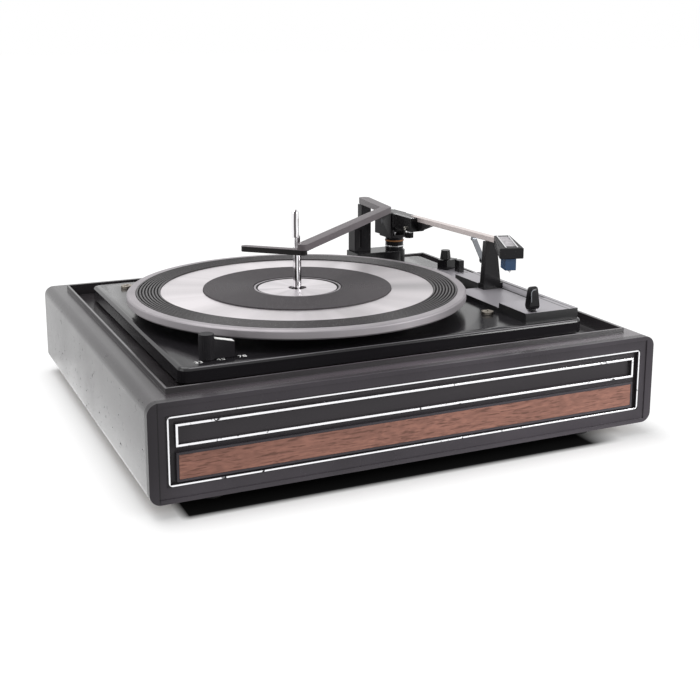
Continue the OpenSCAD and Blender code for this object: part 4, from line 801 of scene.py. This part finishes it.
# Tonearm
# A yoke turns on the pillar and carries the black arm housing between two blackened screws,
# with a grey tube in front and a weight behind. A bright double line edges the housing's top,
# a nickel screw locks its side, and a ribbed wheel under its nose sets the tracking force.
PARK_ANGLE = math.radians(4.9)
on_arm = Matrix.Translation((pillar_at.x, pillar_at.y, 0)) @ Matrix.Rotation(PARK_ANGLE, 4, "Z")
dressed("arm_yoke", matt_black, edge=0.0006)
dressed("arm_housing", arm_black, edge=0.0006)
weight_paint = moulded("weight_paint", (0.034, 0.033, 0.035), 0.35)
dressed("counterweight", weight_paint, edge=0.001)
screw_black = plated("blackened_screw", (0.07, 0.07, 0.075), 0.4)
dressed("pivot_screws", screw_black, edge=0.0003)
tube_grey = Finish("satin_tube", Metallic=0.3)
rub = tube_grey.noise(60, 4, tube_grey.place(stretch=(1, 0.1, 1)))
tube_grey.paint(Base_Color=tube_grey.mix(rub, (0.58, 0.52, 0.505), (0.74, 0.665, 0.645)),
                Roughness=rub * 0.15 + 0.33, Normal=tube_grey.bump(rub, 0.00003))
dressed("arm_tube", tube_grey, edge=0.0006)

HOUSING_LEFT = -0.010
HOUSING_FRONT = -0.046
HOUSING_TOP = 0.1376
NOSE_LOW = 0.1245
LINES_IN = {"outer": 0.0004, "inner": 0.0028}
LINE_FROM = HOUSING_FRONT + 0.001
LINE_TO = -0.013
LINE_WIDE = 0.0008
LINE_PROUD = 0.0002
LINE_EDGE = 0.00008


def bar(name, low, high, place, edge):
    """A bar with rounded edges between two corners, set in place on its carrier."""
    shape = bmesh.new()
    bmesh.ops.create_cube(shape, size=1)
    middle = (Vector(low) + Vector(high)) / 2
    size = Vector(high) - Vector(low)
    placed = place @ Matrix.Translation(middle) @ Matrix.Diagonal((*size, 1))
    bmesh.ops.transform(shape, matrix=placed, verts=shape.verts)
    bmesh.ops.bevel(shape, geom=shape.edges, offset=edge, segments=2, affect="EDGES", profile=0.5)
    return mesh_from(shape, name)


for side, inward in LINES_IN.items():
    left = HOUSING_LEFT + inward
    strip = bar("housing_line_" + side, (left, LINE_FROM, HOUSING_TOP - LINE_PROUD),
                (left + LINE_WIDE, LINE_TO, HOUSING_TOP + LINE_PROUD), on_arm, LINE_EDGE)
    piece_of("housing_line_" + side, strip, chrome, body_of("arm_housing"))

SCREW_R = 0.0019
SCREW_H = 0.0014
SCREW_SLOT = 0.0007
SCREW_BACK = 0.009
SCREW_UP = 0.0026
SCREW_TURN = math.radians(35)
HEAD_STEPS = 14


def slotted_head(name, radius, height, slot, place):
    """A cheese-head screw: a disc with two raised halves either side of the slot."""
    shape = bmesh.new()
    reach = math.acos(slot / 2 / radius)
    layers = [([math.pi * i / HEAD_STEPS for i in range(2 * HEAD_STEPS)], 0, height * 0.5)]
    for turn in (0, math.pi):
        half = [turn - reach + 2 * reach * i / HEAD_STEPS for i in range(HEAD_STEPS + 1)]
        layers.append((half, height * 0.4, height))
    for angles, low, high in layers:
        rim = [shape.verts.new((radius * math.cos(a), radius * math.sin(a), low)) for a in angles]
        raised = bmesh.ops.extrude_face_region(shape, geom=[shape.faces.new(rim)])
        bmesh.ops.translate(shape, vec=(0, 0, high - low),
                            verts=[v for v in raised["geom"] if isinstance(v, bmesh.types.BMVert)])
    bmesh.ops.recalc_face_normals(shape, faces=shape.faces)
    bmesh.ops.transform(shape, matrix=place, verts=shape.verts)
    return mesh_from(shape, name)


on_side = on_arm @ Matrix.Translation((HOUSING_LEFT, HOUSING_FRONT + SCREW_BACK, NOSE_LOW + SCREW_UP)) \
    @ Matrix.Rotation(math.radians(-90), 4, "Y") @ Matrix.Rotation(SCREW_TURN, 4, "Z")
side_screw = slotted_head("housing_screw", SCREW_R, SCREW_H, SCREW_SLOT, on_side)
piece_of("housing_screw", side_screw, nickel, body_of("arm_housing"))

WHEEL_R = 0.0039
WHEEL_H = 0.0052
WHEEL_RIBS = 22
WHEEL_ALONG = -0.027
WHEEL_DOWN = 0.0038
STEM_R = 0.0016
STEM_BORE = 0.0004
STEM_DOWN = 0.0045
STEM_UP = 0.0005
STEM_STEPS = 24
RIB_SHARE = 0.55
RIB_SIDES = 8
CORE_SIDES = 48
WHEEL_SHARP = math.radians(40)


def ribbed_wheel(name, finish, radius, height, ribs, place):
    """A round knob with upright ribs round it."""
    rib_r = math.pi * radius / ribs * RIB_SHARE
    wheel = Pattern(name, finish, Radius=radius, Height=height, Ribs=ribs, Rib=rib_r)
    core = wheel.node("GeometryNodeMeshCylinder", {
        "Vertices": CORE_SIDES, "Radius": "Radius", "Depth": "Height"})
    circle = wheel.node("GeometryNodeMeshCircle", {"Vertices": "Ribs", "Radius": "Radius"})
    rib = wheel.node("GeometryNodeMeshCylinder", {"Vertices": RIB_SIDES, "Radius": "Rib", "Depth": "Height"})
    around = wheel.node("GeometryNodeInstanceOnPoints", {"Points": circle, "Instance": rib})
    both = wheel.node("GeometryNodeJoinGeometry", {})
    for part in (core, around):
        wheel.tree.links.new(part, both.node.inputs[0])
    mesh = wheel.mesh(both)
    mesh.set_sharp_from_angle(angle=WHEEL_SHARP)
    mesh.transform(place)
    return mesh


wheel_at = on_arm @ Matrix.Translation((0, WHEEL_ALONG, NOSE_LOW - WHEEL_DOWN - WHEEL_H / 2))
force_wheel = ribbed_wheel("force_wheel", gloss_black, WHEEL_R, WHEEL_H, WHEEL_RIBS, wheel_at)
piece_of("force_wheel", force_wheel, gloss_black, body_of("arm_housing"))
wheel_axis = on_arm @ Vector((0, WHEEL_ALONG, 0))
stem_low, stem_high = NOSE_LOW - STEM_DOWN, NOSE_LOW + STEM_UP
stem_outline = [(STEM_BORE, stem_low), (STEM_R, stem_low), (STEM_R, stem_high), (STEM_BORE, stem_high)]
force_stem = spun_ring("force_stem", stem_outline, wheel_axis, STEM_STEPS)
piece_of("force_stem", force_stem, zinc, body_of("arm_housing"))

# Headshell and cartridge
# A black clip-on shell with two bright ridges, rubbed to bare grey between them, over a blue
# moulded cartridge with its stylus bar.
SHELL_TURN = PARK_ANGLE - math.radians(21)
TUBE_REACH = 0.174
RUBBED_MID = -0.015
RUBBED_LONG = 0.0115
RUBBED_WIDE = 0.0042
RUBBED_SIDES_SOFT = 0.0003
RUBBED_ENDS_SOFT = 0.0004
shell_at = on_arm @ Vector((0, -TUBE_REACH, 0))
into_shell = Matrix.Rotation(-SHELL_TURN, 4, "Z")
shell_black = moulded("shell_moulding", (0.013, 0.0125, 0.014), 0.22, 0.16)
in_shell = shell_black.place(at=into_shell @ -shell_at, turn=(0, 0, -SHELL_TURN))
shell_x, shell_y, _ = shell_black.axes(in_shell)
plaque = shell_black.band(shell_x, 0.0, RUBBED_WIDE, RUBBED_SIDES_SOFT) \
    * shell_black.band(shell_y, RUBBED_MID, RUBBED_LONG, RUBBED_ENDS_SOFT) * shell_black.upward(0.6, 0.8)
rubbed = plaque * (shell_black.ramp(shell_black.noise(260, 4), 0.25, 0.6) * 0.5 + 0.5)
shell_black.paint(Base_Color=shell_black.mix(rubbed, shell_black.colour, (0.46, 0.44, 0.46)))
dressed("headshell", shell_black, edge=0.0007)
dressed("headshell_trim", chrome, edge=0.0002)
blue = moulded("blue_moulding", (0.020, 0.056, 0.128), 0.3)
dressed("cartridge", blue, edge=0.0005)
dressed("stylus", zinc, edge=0.0001)

# Steady arm
# A zinc shaft rises in a black column and carries a bent dark grey bar that swings over the
# platter to hold the stack level. The pressing leg at its end is nearly black.
TIP_T = 0.0045
TIP_SOFT = 0.0004
dressed("overarm_column", matt_black, edge=0.0006)
dressed("overarm_shaft", zinc, edge=0.0002)
steady_low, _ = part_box("overarm")
tip_top = steady_low.z + TIP_T
steady_grey = moulded("steady_moulding", (0.124, 0.108, 0.116), 0.40, 0.22)
tip_dark = 1 - steady_grey.ramp(steady_grey.axes()[2], tip_top - TIP_SOFT, tip_top)
steady_grey.paint(Base_Color=steady_grey.mix(tip_dark, steady_grey.colour, (0.006, 0.005, 0.005)))
dressed("overarm", steady_grey, edge=0.0016)

# Cue control
# A glossy black moulded box and a second low block beside it stand in the panel's pocket.
# The box's tapered knob tilts on a pin and raises the arm through the lift rod.
dressed("cue_box", gloss_black, edge=0.0005)
dressed("cue_knob", gloss_black, edge=0.0006)

# Function lever
# A slim glossy black lever, moulded with a round top, tilts in a slot of the panel.
# A line of dull steel arches over its face as a painted highlight.
ARCH_HALF = 0.0029
ARCH_FOOT = -0.012
ARCH_MID = -0.0052
ARCH_WIRE = 0.0003
ARCH_BEND = range(-90, 16, 15)
LEVER_ROUND = 0.0026
LEVER_WIDER = 0.0009
LEVER_TAPER = 0.014
dressed("function_lever", gloss_black, edge=0.0006)
lever_low, lever_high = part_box("function_lever")
lever_at = (lever_low + lever_high) / 2


def lever_face(height):
    """How far the face stands before the lever's middle, at a height measured from its top."""
    below = -LEVER_ROUND - height
    if below > 0:
        return LEVER_ROUND + LEVER_WIDER * min(1.0, below / LEVER_TAPER)
    return math.sqrt(max(0.0, LEVER_ROUND ** 2 - below ** 2))


# Painted highlight: a thin steel line arched over the left and top of the lever's face.
arch = bpy.data.curves.new("lever_line", "CURVE")
arch.dimensions = "3D"
arch.bevel_depth = ARCH_WIRE
arch.use_fill_caps = True
path = arch.splines.new("POLY")
bend = [math.radians(degrees) for degrees in ARCH_BEND]
arch_points = [(-ARCH_HALF, ARCH_FOOT)] + [
    (ARCH_HALF * math.sin(a), ARCH_MID + ARCH_HALF * math.cos(a)) for a in bend]
path.points.add(len(arch_points) - 1)
for point, (x, z) in zip(path.points, arch_points):
    point.co = (x, -lever_face(z), z, 1)
arch_mesh = mesh_of(bpy.data.objects.new("lever_line", arch))
arch_mesh.transform(Matrix.Translation((lever_at.x, lever_at.y, lever_high.z)))
piece_of("lever_line", arch_mesh, clip_steel, body_of("function_lever"))

# Speed selector
# A ribbed round hub with a sloping pointer, moulded in one piece of matt black and turning
# on the deck. A white line is printed along the pointer's upper edge.
HUB_R = 0.0055
HUB_RIBS = 26
RIBS_UP = 0.001
RIBS_SHORT = 0.0025
RIBS_SUNK = 0.0002
FIN_LOW = 0.0114
FIN_HIGH = 0.016
FIN_L = 0.020
MARK_HALF = 0.0028
MARK_SUNK = 0.0002
MARK_PROUD = 0.0003
MARK_SHORT = 0.0003
MARK_EDGE = 0.0001
dressed("speed_selector", matt_black, edge=0.0005)
speed_low, speed_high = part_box("speed_selector")
speed_at = Vector((speed_low.x + HUB_R, (speed_low.y + speed_high.y) / 2, deck_top))
ribs_h = speed_high.z - deck_top - RIBS_SHORT
ribs_at = Matrix.Translation(speed_at + Vector((0, 0, RIBS_UP + ribs_h / 2)))
ribs = ribbed_wheel("selector_ribs", matt_black, HUB_R - RIBS_SUNK, ribs_h, HUB_RIBS, ribs_at)
piece_of("selector_ribs", ribs, matt_black, body_of("speed_selector"))
fall = math.atan2(FIN_HIGH - FIN_LOW, FIN_L)
along_fin = Matrix.Translation(speed_at + Vector((0, 0, FIN_HIGH))) @ Matrix.Rotation(fall, 4, "Y")
white_line = bar("selector_line", (HUB_R, -MARK_HALF, -MARK_SUNK),
                 (FIN_L / math.cos(fall) - MARK_SHORT, MARK_HALF, MARK_PROUD), along_fin, MARK_EDGE)
piece_of("selector_line", white_line, printed, body_of("speed_selector"))
